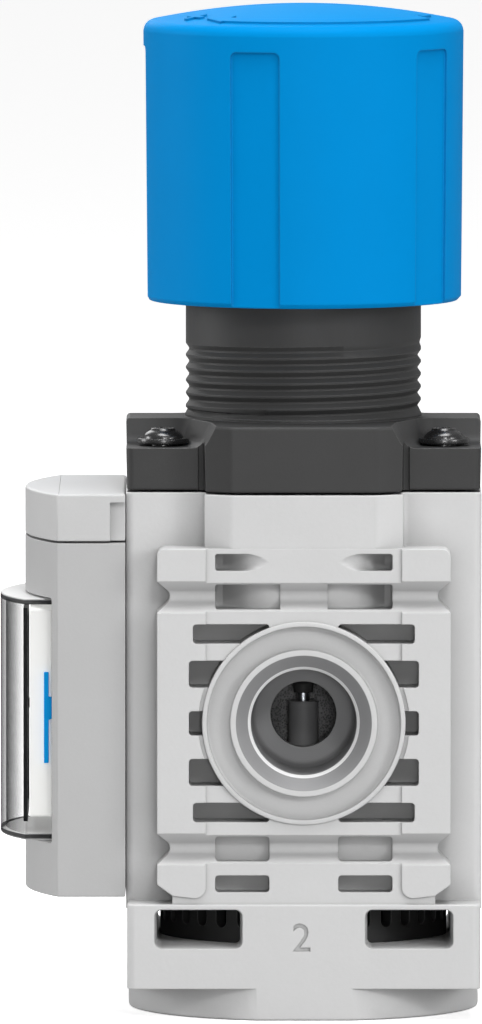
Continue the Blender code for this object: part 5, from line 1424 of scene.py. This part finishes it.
@dataclass
class Bonnet:
    """Black cover of the spring: a plate with four screw scoops, and a neck with the panel nut's thread."""

    body: Body
    draft: float = 0.15
    plate_edge: float = 0.45
    plate_foot: float = 0.3
    edge_steps: int = 4
    scoop_depth: float = 2.9
    scoop_plan: tuple[Corner, ...] = ((13.7, 4.45, 2.6), (10.9, 12.4, 7.0), (9.8, 24.0, 0.0))
    scoop_wall: tuple[Pair, ...] = ((0.0, 0.0), (1.75, 0.85), (2.25, 1.15), (2.6, 1.5),
                                                   (2.82, 1.95), (2.9, 2.45))
    neck: float = 13.95
    neck_top: float = 105.5
    neck_bore: float = 11.9
    spindle_hole: float = 4.25
    flare: Pair = (12.3, 3.6)
    clamp: Pair = (13.8, 2.1)
    ceiling: float = 102.0
    collar: float = 0.08
    collar_height: float = 0.3
    undercut: float = 0.25
    thread_low: float = 71.23
    thread_high: float = 79.5
    pitch: float = 1.5
    thread_depth: float = 0.38
    thread_start: int = 44
    gutter: Triple = (11.75, 12.5, 0.5)
    ring_groove: Triple = (13.05, 100.35, 101.65)

    def build(self, finish: Material) -> Piece:
        """Builds the bonnet in place of its solid.

        Args:
            finish: Its material.

        Returns:
            The piece.
        """
        low, high = self.body.plate_low, self.body.plate_top
        edge, foot, steps = self.plate_edge, self.plate_foot, self.edge_steps
        turns = [math.pi / 2 * i / steps for i in range(steps + 1)]
        levels = [(low + foot * (1 - math.cos(t)), self.draft + foot * (1 - math.sin(t))) for t in turns]
        levels += [(high - edge * (1 - math.cos(t)), edge * (1 - math.sin(t))) for t in reversed(turns)]
        plate = loft("moulded_bonnet",
                     [[(x, y, z) for x, y in inset(self.body.plan(), away)] for z, away in levels])
        carve(plate, *[self.scoop(x, y) for x in (-1, 1) for y in (-1, 1)])
        fuse(plate, self.neck_blank())
        holes = self.body.screw_holes(low - OVERRUN, high + OVERRUN)
        carve(plate, self.bore(), self.thread(), *holes, *self.gutters())
        return seat(dress(plate, finish), "housing", "black_plastic", "bonnet")

    def scoop(self, sign_x: int, sign_y: int) -> Piece:
        """The hollow round one screw, with a round wall and a round corner in plan.

        Args:
            sign_x: Side of the plate along X.
            sign_y: Side of the plate along Y.

        Returns:
            Its cutter.
        """
        (_, start_y, _), *_, (_, end_y, _) = self.scoop_plan
        beyond = self.body.half_width + 4.0
        plan = filleted([*self.scoop_plan, (beyond, end_y, 0.0), (beyond, start_y, 0.0)], 10)
        levels = [(-OVERRUN, 0.0), *self.scoop_wall]
        return loft("scoop",
                    [[(sign_x * x, sign_y * y, self.body.plate_top - depth) for x, y in inset(plan, away)]
                     for depth, away in levels])

    def neck_blank(self) -> Piece:
        """The neck before its thread is cut, with the collar at its foot and the groove of the catch."""
        top, plate = self.neck_top, self.body.plate_top
        floor, low, high = self.ring_groove
        foot = plate + self.collar_height
        return turned("neck", [(0, top, 0), (self.neck, top, 0.6), (self.neck, high, 0), (floor, high, 0),
                               (floor, low, 0), (self.neck, low, 0), (self.neck, self.thread_low, 0.08),
                               (self.neck - self.undercut, self.thread_low - 0.1, 0.1),
                               (self.neck - self.undercut, foot + 0.65, 0.15),
                               (self.neck + self.collar, foot, 0.1),
                               (self.neck + self.collar, plate - self.scoop_depth, 0),
                               (0, plate - self.scoop_depth, 0)], 144)

    def bore(self) -> Piece:
        """The hollow that holds the spring, and the hole of the spindle."""
        low, above = self.body.plate_low, self.neck_top + OVERRUN
        (flare, flare_high), (clamp, clamp_high) = self.flare, self.clamp
        return turned("bonnet_bore", [
            (0, above, 0), (self.spindle_hole, above, 0), (self.spindle_hole, self.ceiling, 0),
            (self.neck_bore, self.ceiling, 0.8), (self.neck_bore, low + flare_high, 0.4),
            (flare, low + flare_high, 0), (clamp, low + clamp_high, 0), (clamp, low - OVERRUN, 0),
            (0, low - OVERRUN, 0)], 96)

    def gutters(self) -> list[Piece]:
        """The narrow upright grooves between the bowed column and the wings of the plate."""
        inner, outer, depth = self.gutter
        low, high = self.body.plate_low - OVERRUN, self.body.plate_top - self.scoop_depth + 0.6
        start = self.body.core_depth - depth
        outline = rectangle((inner, start), (outer, self.body.face + OVERRUN), 0.15)
        shapes = [outline, mirrored(outline)]
        shapes += [[(x, -y) for x, y in reversed(shape)] for shape in shapes]
        return [prism("gutter", shape, low, high) for shape in shapes]

    def thread(self) -> Piece:
        """The helical groove of the neck's thread, which runs out at both ends."""
        steps = 72
        turns = (self.thread_high - self.thread_low) / self.pitch + 0.8
        rings = []
        for i in range(self.thread_start, int(turns * steps) + 1):
            angle = 2 * math.pi * i / steps
            height = self.thread_low - 0.85 * self.pitch + self.pitch * i / steps
            fade = min(1.0, (turns * steps - i) / steps * 1.5, (i - self.thread_start) / 8)
            root = self.neck + 0.05 - (self.thread_depth + 0.05) * fade
            lip = self.neck + 0.05
            ring = []
            for radius, shift in ((lip, -0.71), (root, -0.09), (root, 0.09), (lip, 0.71)):
                ring.append((*polar(radius, angle), height + shift))
            rings.append(ring)
        return loft("neck_thread", rings)


@dataclass
class BonnetScrews:
    """Four flanged dome head screws with a six lobed recess."""

    body: Body
    lift: float = 67.55
    radius: float = 1.45
    length: float = 12.0
    flange: float = 3.0
    flange_height: float = 0.62
    dome: float = 2.38
    flat: float = 1.35
    height: float = 1.8
    lobe_circle: float = 0.86
    recess: float = 1.0

    def build(self, finish: Material) -> list[Piece]:
        """Builds the screws in place of their solids.

        Args:
            finish: Their material.

        Returns:
            The four pieces.
        """
        made = []
        for number, place in enumerate(self.body.screws(), 1):
            screw = self.blank(place)
            carve(screw, self.star(place))
            screw.name = f"flanged_screw_{number}"
            made.append(seat(dress(screw, finish), "housing", "black_steel", f"bonnet_screw_{number}"))
        return made

    def blank(self, place: Pair) -> Piece:
        """The head with its flange, and the shank.

        Args:
            place: Where its axis stands.

        Returns:
            The screw without its recess.
        """
        rise = self.height - self.flange_height
        bulge = [(self.dome * math.cos(t), self.lift + self.flange_height + rise * math.sin(t), 0)
                 for t in (math.pi / 2 * i / 9 for i in range(9))
                 if self.dome * math.cos(t) > self.flat]
        profile = [(0, self.lift + self.height, 0), (self.flat, self.lift + self.height, 0.12)] + bulge[::-1]
        profile += [(self.flange, self.lift + self.flange_height, 0.12), (self.flange, self.lift, 0.12),
                    (self.radius, self.lift, 0.1), (self.radius, self.lift - self.length, 0.3),
                    (0, self.lift - self.length, 0)]
        return turned("screw", profile, 64, centre=place)

    def star(self, place: Pair) -> Piece:
        """The cutter of the recess: six round lobes joined by hollow waists.

        Args:
            place: Where its axis stands.

        Returns:
            The cutter.
        """
        outline = []
        for i in range(48):
            angle = 2 * math.pi * i / 48
            reach = self.lobe_circle + 0.17 * math.cos(6 * angle)
            outline.append((place[0] + reach * math.cos(angle), place[1] + reach * math.sin(angle)))
        top = self.lift + self.height
        return prism("star", outline, top - self.recess, top + OVERRUN)


@dataclass
class Knob:
    """Rotary knob with shallow flutes, and an arrow between a plus and a minus raised on its dome."""

    low: float = 84.0
    height: float = 35.1
    radius: float = 19.0
    draft: float = 0.3
    dome: float = 1.8
    rim: float = 1.35
    skirt_bore: float = 16.5
    ceiling: float = 30.5
    sleeve: float = 15.9
    sleeve_bore: float = 14.6
    hub: float = 6.6
    hub_low: float = 22.5
    hexagon: float = 4.05
    socket: float = 6.1
    lip: Triple = (14.2, 11.9, 12.8)
    flutes: int = 5
    flute_width: float = 6.1
    flute_depth: float = 0.36
    flute_end: float = 4.9
    flute_corner: float = 0.75
    raised: float = 0.26
    arrow_radii: Pair = (15.0, 16.7)
    arrow_span: Pair = (-125.0, -27.0)
    head_radii: Pair = (13.9, 17.1)
    head_length: float = 11.0
    plus_angle: float = -147.0
    minus_angle: float = -20.0
    sign_radius: float = 15.2
    bar_half: float = 1.4
    bar_thin: float = 0.34
    sign_depth: float = 4.0

    def build(self, finish: Material) -> Piece:
        """Builds the knob in place of its solid.

        Args:
            finish: Its material.

        Returns:
            The piece.
        """
        knob = self.shell()
        flutes = [self.flute(-math.pi + 2 * math.pi * i / self.flutes) for i in range(self.flutes)]
        socket = prism("socket", arc((0, 0), self.hexagon, 0, math.pi * 5 / 3, 5),
                       self.low + self.hub_low - OVERRUN, self.low + self.hub_low + self.socket)
        carve(knob, socket, *flutes)
        for sign in (self.arrow(), *self.signs()):
            fuse(knob, combine(sign, Boolean.INTERSECT, (self.cover(),)))
        knob.name = "rotary_knob"
        return seat(dress(knob, finish), "knob", "blue_plastic", "knob")

    def outside(self, grow: float = 0.0) -> list[Corner]:
        """Profile of the dome and the round rim, from the axis outwards.

        Args:
            grow: How far it stands over the knob's own dome.

        Returns:
            The corners.
        """
        top = self.low + self.height
        span = self.radius - self.rim
        ball = (span ** 2 + self.dome ** 2) / (2 * self.dome)
        points = [(0.0, top + grow, 0.0)]
        for i in range(1, 17):
            reach = span * i / 16
            points.append((reach, top + grow - ball + math.sqrt(ball ** 2 - reach ** 2), 0.0))
        return points

    def wall(self, height: float) -> float:
        """Outside radius at a height over the knob's lower edge."""
        return self.radius - self.draft * (1 - height / self.height)

    def shell(self) -> Piece:
        """The knob without flutes: skirt, dome, inner sleeve with its catching lip, and hub."""
        low, roof = self.low, self.low + self.ceiling
        shoulder = self.height - self.dome - self.rim
        rim = [(x, y, 0.0) for x, y in arc((self.radius - self.rim - 0.06, low + shoulder), self.rim, 1.36,
                                           0.0, 9)]
        rim[-1] = (self.wall(shoulder), low + shoulder, 0.0)
        lip_radius, lip_low, lip_high = self.lip
        profile = self.outside()[:-1] + rim + [(self.wall(0.5), low + 0.5, 0.2),
                                               (self.wall(0) - 0.45, low, 0.25),
                                               (self.skirt_bore, low, 0.15), (self.skirt_bore, roof, 0.8),
                                               (self.sleeve, roof, 0.2), (self.sleeve, low + lip_low, 0.3),
                                               (lip_radius, low + lip_low, 0.15),
                                               (lip_radius, low + lip_high, 0.1),
                                               (self.sleeve_bore, low + lip_high + 0.3, 0.0),
                                               (self.sleeve_bore, roof, 0.4), (self.hub, roof, 0.5),
                                               (self.hub, low + self.hub_low, 0.4),
                                               (0.0, low + self.hub_low, 0.0)]
        return turned("knob_shell", profile, 200, arc_steps=4)

    def flute(self, angle: float) -> Piece:
        """One shallow flute, wrapped round the knob and open at its lower end.

        Args:
            angle: Where its middle lies, in radians.

        Returns:
            Its cutter.
        """
        half, high = self.flute_width / 2, self.height - self.flute_end
        rings = []
        for outwards, grow in ((-self.flute_depth, -0.1), (-self.flute_depth + 0.1, 0.0), (OVERRUN, 0.0)):
            wide, top = half + grow, high + grow
            flat = [(-wide + 2 * wide * i / 10, -OVERRUN) for i in range(11)]
            flat += arc((wide - self.flute_corner, top - self.flute_corner), self.flute_corner, 0,
                        math.pi / 2, 6)
            flat += [(wide - self.flute_corner - 2 * (wide - self.flute_corner) * i / 10, top)
                     for i in range(1, 10)]
            flat += arc((-wide + self.flute_corner, top - self.flute_corner), self.flute_corner, math.pi / 2,
                        math.pi, 6)
            ring = []
            for across, height in flat:
                turn = angle + across / self.radius
                reach = self.wall(height) + outwards
                ring.append((*polar(reach, turn), self.low + height))
            rings.append(ring)
        return loft("flute", rings)

    def cover(self) -> Piece:
        """The thin dome that the raised signs are cut from."""
        profile = self.outside(self.raised)
        reach = profile[-1][0]
        return turned("cover", profile + [(reach, self.low + self.height - 5.0, 0.0),
                                          (0.0, self.low + self.height - 5.0, 0.0)], 160)

    def arrow(self) -> Piece:
        """A curved arrow with a head at its plus end, run up through the dome."""
        inner, outer = self.arrow_radii
        start, end = (math.radians(value) for value in self.arrow_span)
        head = math.radians(self.head_length)
        near, far = self.head_radii
        middle = (inner + outer) / 2
        outline = arc((0, 0), outer, start, end, 36)
        outline += arc((0, 0), inner, end, start, 36)
        outline += [polar(near, start), polar(middle, start - head), polar(far, start)]
        top = self.low + self.height
        return prism("arrow", outline, top - self.sign_depth, top + OVERRUN)

    def signs(self) -> list[Piece]:
        """The bars of the plus and of the minus."""
        top = self.low + self.height
        bars = []
        for angle, turns in ((self.plus_angle, (0.0, 90.0)), (self.minus_angle, (90.0,))):
            centre = Vector((math.cos(math.radians(angle)), math.sin(math.radians(angle)))) * self.sign_radius
            for turn in turns:
                way = math.radians(angle + turn)
                along = Vector(polar(1.0, way))
                side = Vector((-along.y, along.x))
                corners = [centre + along * self.bar_half * a + side * self.bar_thin * b
                           for a, b in ((-1, -1), (1, -1), (1, 1), (-1, 1))]
                bars.append(prism("bar", [(p.x, p.y) for p in corners], top - self.sign_depth, top + OVERRUN))
        return bars


@dataclass
class BasePlug:
    """Black plug in the base: the slotted sleeve that lets the exhaust out, and a seat for the spring."""

    outer: float = 17.0
    sleeve_wall: float = 1.7
    sleeve_top: float = 13.5
    floor: float = 3.0
    slots: int = 36
    slot_width: float = 1.45
    slot_bottom: float = 10.5
    cup: float = 7.75
    cup_bore: float = 6.15
    cup_top: float = 19.0
    cup_floor: float = 13.2
    seal_groove: Triple = (15.6, 17.1, 0.95)
    spigot: Triple = (3.45, 2.85, 17.6)
    vent_floor: float = 12.2
    key_inner: float = 8.5
    key_outer: float = 13.5
    key_depth: float = 1.6
    key_span: float = 58.0
    keys: int = 4

    def build(self, finish: Material) -> Piece:
        """Builds the plug in place of its solid.

        Args:
            finish: Its material.

        Returns:
            The piece.
        """
        groove_low, groove_high, groove_depth = self.seal_groove
        spigot, spigot_bore, spigot_top = self.spigot
        inside = self.outer - self.sleeve_wall
        plug = turned("base_plug_moulded",
                      [(0, 0, 0), (self.outer, 0, 0.5), (self.outer, self.sleeve_top, 0.2),
                       (inside, self.sleeve_top, 0.2), (inside, self.floor, 0.5),
                       (self.cup, self.floor, 0.5), (self.cup, groove_low, 0),
                       (self.cup - groove_depth, groove_low, 0), (self.cup - groove_depth, groove_high, 0),
                       (self.cup, groove_high, 0), (self.cup, self.cup_top, 0.3),
                       (self.cup_bore, self.cup_top, 0.2), (self.cup_bore, self.cup_floor, 0),
                       (spigot, self.cup_floor, 0), (spigot, spigot_top, 0.1),
                       (spigot_bore, spigot_top, 0.1), (spigot_bore, self.vent_floor, 0),
                       (0, self.vent_floor, 0)], 144)
        carve(plug, *self.key_recesses(), *self.sleeve_slots())
        return seat(dress(plug, finish), "housing", "black_plastic", "base_plug")

    def key_recesses(self) -> list[Piece]:
        """The recesses that a pin key turns the plug by."""
        half = math.radians(self.key_span) / 2
        cutters = []
        for i in range(self.keys):
            angle = 2 * math.pi * i / self.keys
            outline = arc((0, 0), self.key_outer, angle - half, angle + half, 16)
            outline += arc((0, 0), self.key_inner, angle + half, angle - half, 16)
            cutters.append(prism("key_recess", outline, -OVERRUN, self.key_depth, edge=(0.0, 0.3)))
        return cutters

    def sleeve_slots(self) -> list[Piece]:
        """Slots with round bottoms, open at the top of the sleeve."""
        half = self.slot_width / 2
        foot = arc((0, self.slot_bottom + half), half, math.pi, 2 * math.pi, 8)
        outline = foot + [(half, self.sleeve_top + OVERRUN), (-half, self.sleeve_top + OVERRUN)]
        cutters = []
        for i in range(self.slots):
            turn = 2 * math.pi * (i + 0.5) / self.slots
            rings = []
            for reach in (self.outer - self.sleeve_wall - OVERRUN, self.outer + OVERRUN):
                rings.append([(reach * math.cos(turn) - x * math.sin(turn),
                               reach * math.sin(turn) + x * math.cos(turn), z) for x, z in outline])
            cutters.append(loft("slot", rings))
        return cutters


@dataclass
class OutletValve:
    """The pieces that show through the outlet port: the guide, the poppet's post and the valve pin."""

    pin: float = 0.72
    clearance: float = 0.12
    nose: float = 1.15
    post: float = 1.8
    post_top: float = 36.3
    socket_depth: float = 3.5
    cross_slot: Triple = (3.0, 0.35, 0.9)
    bush: float = 3.75
    head: Triple = (5.0, 55.6, 56.4)
    funnel: Pair = (2.6, 39.45)
    funnel_throat: Corner = (1.25, 38.3, 0.3)
    nose_low: float = 37.25
    neck: Pair = (2.3, 26.15)
    flange: Triple = (5.3, 21.4, 23.8)
    tail: Pair = (2.6, 13.95)

    def build(self, guide: Material, poppet: Material, pin: Material) -> None:
        """Builds the three pieces in place of their solids.

        Args:
            guide: Finish of the guide bush.
            poppet: Finish of the poppet.
            pin: Finish of the pin.
        """
        hole = self.pin + self.clearance / 2
        head, head_low, head_top = self.head
        mouth, mouth_high = self.funnel
        bush = turned("guide_bush", [
            (hole, head_top, 0.15), (head, head_top, 0.15), (head, head_low, 0.1), (self.bush, head_low, 0),
            (self.bush, mouth_high, 0.1), (mouth, mouth_high, 0.2), self.funnel_throat,
            (self.nose, self.nose_low, 0.05), (hole, self.nose_low, 0)], 64)
        seat(dress(bush, guide), "housing", "black_plastic", "stem_guide")
        neck, neck_low = self.neck
        flange, flange_low, flange_high = self.flange
        tail, tail_low = self.tail
        socket = self.post_top - self.socket_depth
        body = turned("poppet_moulded", [(0, socket, 0), (hole, socket, 0), (hole, self.post_top, 0.05),
                                         (self.post, self.post_top, 0.2), (self.post, neck_low, 0),
                                         (neck, neck_low, 0), (neck, flange_high, 0),
                                         (flange, flange_high, 0.15), (flange, flange_low, 0.2),
                                         (tail, flange_low, 0.2), (tail, tail_low, 0.3), (0, tail_low, 0)],
                      64)
        reach, half, depth = self.cross_slot
        carve(body, prism("cross_slot", rectangle((-reach, -half), (reach, half)), self.post_top - depth,
                          self.post_top + OVERRUN))
        seat(dress(body, poppet), "valve", "black_plastic", "poppet")
        box_low, box_high = (value.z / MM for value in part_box("valve_pin"))
        rod_pin = turned("ground_pin", [(0, box_low, 0), (self.pin, box_low, 0.1), (self.pin, box_high, 0.2),
                                        (0, box_high, 0)], 32)
        seat(dress(rod_pin, pin), "valve", "zinc_steel", "valve_pin")


@dataclass
class Gauge:
    """Built on pressure gauge: bowed case with its cap, clear window, dial, bezel, needle and marker."""

    axis: float = 35.2
    nipple_bore: float = 2.95
    arbor_bore: float = 0.85
    back: float = 21.05
    half: float = 16.0
    apex: float = 33.0
    bow: float = 34.8
    corner: float = 0.3
    wall: float = 1.6
    low: float = 14.3
    seam: float = 56.3
    top: float = 62.0
    gap: float = 0.25
    notch: float = 1.8
    notch_depth: float = 1.1
    slab: float = 1.0
    opening_half: float = 14.7
    opening_low: float = 20.5
    opening_high: float = 49.6
    lens_half: float = 12.5
    lens_apex: float = 35.95
    lens_bow: float = 27.5
    lens_wall: float = 0.65
    lens_corner: float = 0.5
    lens_back: float = 28.945
    lens_low: float = 20.75
    lens_high: float = 49.35
    dial_face: float = 32.39
    dial_half: float = 11.2
    dial_low: float = 23.4
    dial_high: float = 48.05
    bezel_front: float = 33.14
    bezel_half: float = 9.93
    bezel_low: float = 22.7
    bezel_width: float = 1.1
    centre: float = 36.025
    needle: float = 8.35
    scale_sweep: float = 270.0
    scale_start: float = 225.0
    scale_end: int = 10
    tick_radii: Triple = (8.5, 7.3, 7.8)
    number_radius: float = 5.7
    number_size: float = 1.9
    print_height: float = 0.03

    def build(self, shell: Material, lid: Material, clear: Material,
              white: Material, black: Material, ink: Material,
              clip: Material) -> None:
        """Builds the gauge in place of its solids.

        Args:
            shell: Finish of the case.
            lid: Finish of its cap.
            clear: Finish of the window.
            white: Finish of the dial carrier.
            black: Finish of the bezel.
            ink: Finish of the printed scale and of the needle.
            clip: Finish of the set marker.
        """
        seat(dress(self.case(), shell), "housing", "cast_grey", "gauge_housing")
        seat(dress(self.cap(), lid), "housing", "cast_grey", "gauge_cap")
        seat(dress(self.window(), clear), "housing", "clear_plastic", "gauge_window")
        seat(dress(self.carrier(), white), "housing", "white_plastic", "gauge_dial")
        seat(dress(self.bezel(), black), "housing", "black_plastic", "gauge_bezel")
        seat(dress(self.printed_scale(), ink), "housing", "black_plastic")
        seat(dress(self.pointer(), ink), "needle", "black_plastic", "gauge_needle")
        seat(dress(self.marker(), clip), "housing", "blue_plastic", "set_marker")

    def bowed(self, half: float, apex: float, bow: float, back: float, corner: float,
              away: float = 0.0) -> Outline:
        """Plan of a box with a bowed front.

        Args:
            half: Half its width.
            apex: Distance of its front from the knob's axis.
            bow: Radius of its front.
            back: Distance of its flat back from the knob's axis.
            corner: Radius of its front corners.
            away: How far its front and sides stand in.

        Returns:
            The closed outline.
        """
        half, apex, radius = half - away, apex - away, bow - away
        reach = math.asin(half / radius)
        front = arc((radius - apex, 0), radius, math.pi - reach, math.pi + reach, 28)
        corners: list[Corner] = [(x, y, 0.0) for x, y in front]
        corners[0], corners[-1] = (*front[0], corner), (*front[-1], corner)
        side = [(-back, half, 0.0)]
        return filleted([*side, *self.spread(corners, corner), (-back, -half, 0.0)], 6)

    def spread(self, corners: list[Corner], corner: float) -> list[Corner]:
        """Leaves out the points of the front that its round corners would run over."""
        first, last = Vector(corners[0][:2]), Vector(corners[-1][:2])
        return [c for i, c in enumerate(corners) if i in (0, len(corners) - 1)
                or min((Vector(c[:2]) - first).length, (Vector(c[:2]) - last).length) > 2.1 * corner]

    def case(self) -> Piece:
        """The shell, open at its top and its front."""
        outside = self.bowed(self.half, self.apex, self.bow, self.back, self.corner)
        inside = self.bowed(self.half, self.apex, self.bow, self.back + 1.8, self.corner, self.wall)
        shell = prism("gauge_case", outside, self.low, self.seam - self.gap / 2, edge=(0.2, 0.12))
        hollow = prism("hollow", inside, self.low + self.wall, self.seam + OVERRUN)
        opening = prism("opening", rectangle((-self.opening_half, self.opening_low),
                                             (self.opening_half, self.opening_high), self.lens_corner),
                        self.apex - 8.0, self.apex + OVERRUN, Facing.GAUGE)
        hole = cylinder("nipple_hole", self.nipple_bore, self.back - OVERRUN, self.back + 3.0, 48,
                        Facing.GAUGE, (0, self.axis))
        return carve(shell, hollow, opening, hole)

    def cap(self) -> Piece:
        """The cap over the shell, notched beside the casting."""
        outside = self.bowed(self.half, self.apex, self.bow, self.back, self.corner)
        inside = self.bowed(self.half, self.apex, self.bow, self.back + self.notch + self.wall, self.corner,
                            self.wall)
        lid = prism("gauge_cap_moulded", outside, self.seam + self.gap / 2, self.top, edge=(0.12, 0.35))
        reach, low, high = self.half + OVERRUN, self.seam - OVERRUN, self.top - self.slab
        ends = ((-reach, -self.half + self.notch_depth), (self.half - self.notch_depth, reach))
        notches = [prism("notch", rectangle((-self.back - self.notch, start), (-self.back + OVERRUN, end)),
                         low, high) for start, end in ends]
        return carve(lid, *notches, prism("hollow", inside, self.seam - OVERRUN, self.top - self.wall))

    def window(self) -> Piece:
        """The clear window with its flange behind the opening of the shell."""
        outside = self.bowed(self.lens_half, self.lens_apex, self.lens_bow, self.lens_back, self.lens_corner)
        inside = self.bowed(self.lens_half, self.lens_apex, self.lens_bow, self.lens_back - OVERRUN,
                            self.lens_corner, self.lens_wall)
        lens = prism("gauge_lens", outside, self.lens_low, self.lens_high, edge=(0.25, 0.25))
        half = self.opening_half - self.gap
        fuse(lens, prism("flange", rectangle((-self.lens_back - 0.8, -half), (-self.lens_back, half)),
                         self.lens_low, self.lens_high))
        carve(lens, prism("hollow", inside, self.lens_low + self.lens_wall, self.lens_high - self.lens_wall))
        lens.visible_shadow = False
        return lens

    def carrier(self) -> Piece:
        """The dial carrier, open at its back."""
        half, face = self.dial_half, self.dial_face
        block = prism("dial_carrier", rectangle((-half, self.dial_low), (half, self.dial_high), 0.3),
                      face - 5.0, face, Facing.GAUGE, edge=(0.0, 0.1))
        hollow = prism("hollow", rectangle((-half + 1, self.dial_low + 1), (half - 1, self.dial_high - 1),
                                           0.3), face - 5.0 - OVERRUN, face - 1.0, Facing.GAUGE)
        hole = cylinder("arbor_hole", self.arbor_bore, face - 2.0, face + OVERRUN, 32, Facing.GAUGE,
                        (0, self.centre))
        return carve(block, hollow, hole)

    def bezel(self) -> Piece:
        """The black frame on the face of the dial."""
        half, width = self.bezel_half, self.bezel_width
        low, high = self.bezel_low, self.dial_high
        frame_blank = prism("dial_bezel", rectangle((-half, low), (half, high), 0.3),
                            self.dial_face + self.gap, self.bezel_front, Facing.GAUGE, edge=(0.0, 0.1))
        return carve(frame_blank, prism("bezel_opening", rectangle((-half + width, low + width),
                                                                   (half - width, high - width), 0.4),
                                        self.dial_face - OVERRUN, self.bezel_front + OVERRUN, Facing.GAUGE))

    def printed_scale(self) -> Piece:
        """The scale printed on the dial: a long mark and a number at each step, short marks between."""
        outer, long_inner, short_inner = self.tick_radii
        low, high = self.dial_face - 0.02, self.dial_face + self.print_height
        marks = []
        divisions = self.scale_end * 2
        for i in range(divisions + 1):
            angle = math.radians(self.scale_start - self.scale_sweep * i / divisions)
            inner, width = (long_inner, 0.2) if i % 4 == 0 else (short_inner, 0.12)
            way = Vector(polar(1.0, angle))
            side = Vector((-way.y, way.x))
            middle = Vector((0.0, self.centre))
            corners = [middle + way * r + side * w
                       for r, w in ((inner, -width), (outer, -width), (outer, width), (inner, width))]
            marks.append(prism("mark", [(-p.x, p.y) for p in corners], low, high, Facing.GAUGE))
            if i % 4 == 0:
                spot = (-self.number_radius * way.x, self.centre + self.number_radius * way.y)
                marks.append(lettering("number", str(i // 2), self.number_size, spot, low, high,
                                       Facing.GAUGE))
        first = marks[0]
        fuse(first, *marks[1:])
        first.name = "printed_scale"
        return first

    def pointer(self) -> Piece:
        """The needle at rest on its lower stop, with its hub and arbor."""
        back = self.dial_face + self.gap
        front = back + 0.3
        turn = math.radians(-45)
        tail, shoulder = 2.3, self.needle - 1.7
        shape = [(-tail, 0.42), (-tail, -0.42), (shoulder, -0.2), (self.needle, 0.0), (shoulder, 0.2)]
        outline = [(u * math.cos(turn) - v * math.sin(turn),
                    self.centre + u * math.sin(turn) + v * math.cos(turn)) for u, v in shape]
        hand = prism("gauge_pointer", outline, back, front, Facing.GAUGE)
        hub = turned("hub", [(0, back - 3.9, 0), (0.6, back - 3.9, 0), (0.6, back, 0), (1.3, back, 0),
                             (1.3, front + 0.1, 0.08), (0, front + 0.1, 0)], 32, Facing.GAUGE,
                     (0, self.centre))
        return fuse(hand, hub)

    def marker(self) -> Piece:
        """The blue limit marker clipped on the side of the dial carrier."""
        low, high = (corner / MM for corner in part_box("set_marker"))
        arm = low.x + 0.57
        outline = filleted([(low.x, low.z, 0.1), (arm, low.z, 0.1), (arm, 34.9, 0.05), (high.x, 35.1, 0.1),
                            (high.x, 37.6, 0.1), (arm, 37.7, 0.05), (arm, high.z, 0.1),
                            (low.x, high.z, 0.1)], 3)
        return prism("limit_clip", [(x, z) for x, z in outline], -high.y, -low.y, Facing.OUTLET,
                     edge=(0.05, 0.05))


@dataclass
class CoilSpring:
    """A compression spring of round wire with closed ends, as wide and as long as its solid."""

    node: str
    name: str
    wire: float
    turns: float
    closed: float = 1.0
    steps: int = 28

    def build(self, finish: Material) -> Piece:
        """Builds the spring in place of its solid.

        Args:
            finish: Its material.

        Returns:
            The piece.
        """
        low, high = (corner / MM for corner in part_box(self.node))
        radius = (high.x - low.x) / 2 - self.wire
        pitch = 2 * self.wire + 0.25
        rise = high.z - low.z - 2 * self.wire - 2 * self.closed * pitch
        count = int(self.turns * self.steps)
        points = []
        for i in range(count + 1):
            turn = self.turns * i / count
            dead = min(turn, self.closed) + max(turn - self.turns + self.closed, 0.0)
            free = min(max((turn - self.closed) / (self.turns - 2 * self.closed), 0.0), 1.0)
            points.append((radius * math.cos(2 * math.pi * turn), radius * math.sin(2 * math.pi * turn),
                           low.z + self.wire + pitch * dead + rise * free))
        return seat(dress(rod(self.name, points, self.wire, 14), finish), "housing", "zinc_steel", self.node)


def finish_solid(node: str, finish: Material) -> None:
    """Gives a solid that is carried over as it is its material.

    Args:
        node: The solid.
        finish: Its material.
    """
    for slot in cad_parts[node].material_slots:
        slot.material = finish
    log.info("%s: solid carried over with %s", node, finish.name)


def main() -> None:
    """Builds the studio and every piece, from the casting to the gauge, and reports each."""
    logging.basicConfig(level=logging.INFO, format="%(name)s: %(message)s")
    Studio().build()
    body = Body()
    paint, zinc, brass, rubber = PowderCoat(
        ).make(), PlatedSteel().make(), TURNED_BRASS.make(), Rubber().make()
    nylon, blue, oxide, bronze = BLACK_NYLON.make(
        ), BLUE_ACETAL.make(), BlackenedSteel().make(), DRAWN_BRONZE.make()
    Housing(body).build(paint, TurnedMetal(height=body.axis).make(), RawCasting().make(), TAPPED_HIGHLIGHT.make())
    Bonnet(body).build(nylon)
    BonnetScrews(body).build(oxide)
    Knob().build(blue)
    BasePlug().build(PLUG_NYLON.make())
    OutletValve().build(nylon, GREY_POM.make(), zinc)
    Gauge().build(GREY_ABS.make(), PALE_ABS.make(), ClearPlastic().make(), WHITE_ABS.make(),
                  BLACK_POLISHED.make(), PRINT_BLACK.make(), BLUE_CLIP.make())
    CoilSpring("main_spring", "range_spring", 1.15, 6.5).build(zinc)
    CoilSpring("valve_spring", "closing_spring", 0.4, 4.5).build(zinc)
    for node in ("lock_ring", "spindle", "diaphragm_plate"):
        finish_solid(node, zinc)
    for node in ("thrust_washer", "spring_plate", "diaphragm_washer", "valve_seat"):
        finish_solid(node, brass)
    for node in ("diaphragm", "poppet_seal", "plug_seal", "gauge_seal"):
        finish_solid(node, rubber)
    finish_solid("gauge_nipple", TURNED_BRASS_NIPPLE.make())
    finish_solid("pressure_tube", bronze)


if __name__ == "__main__":
    main()
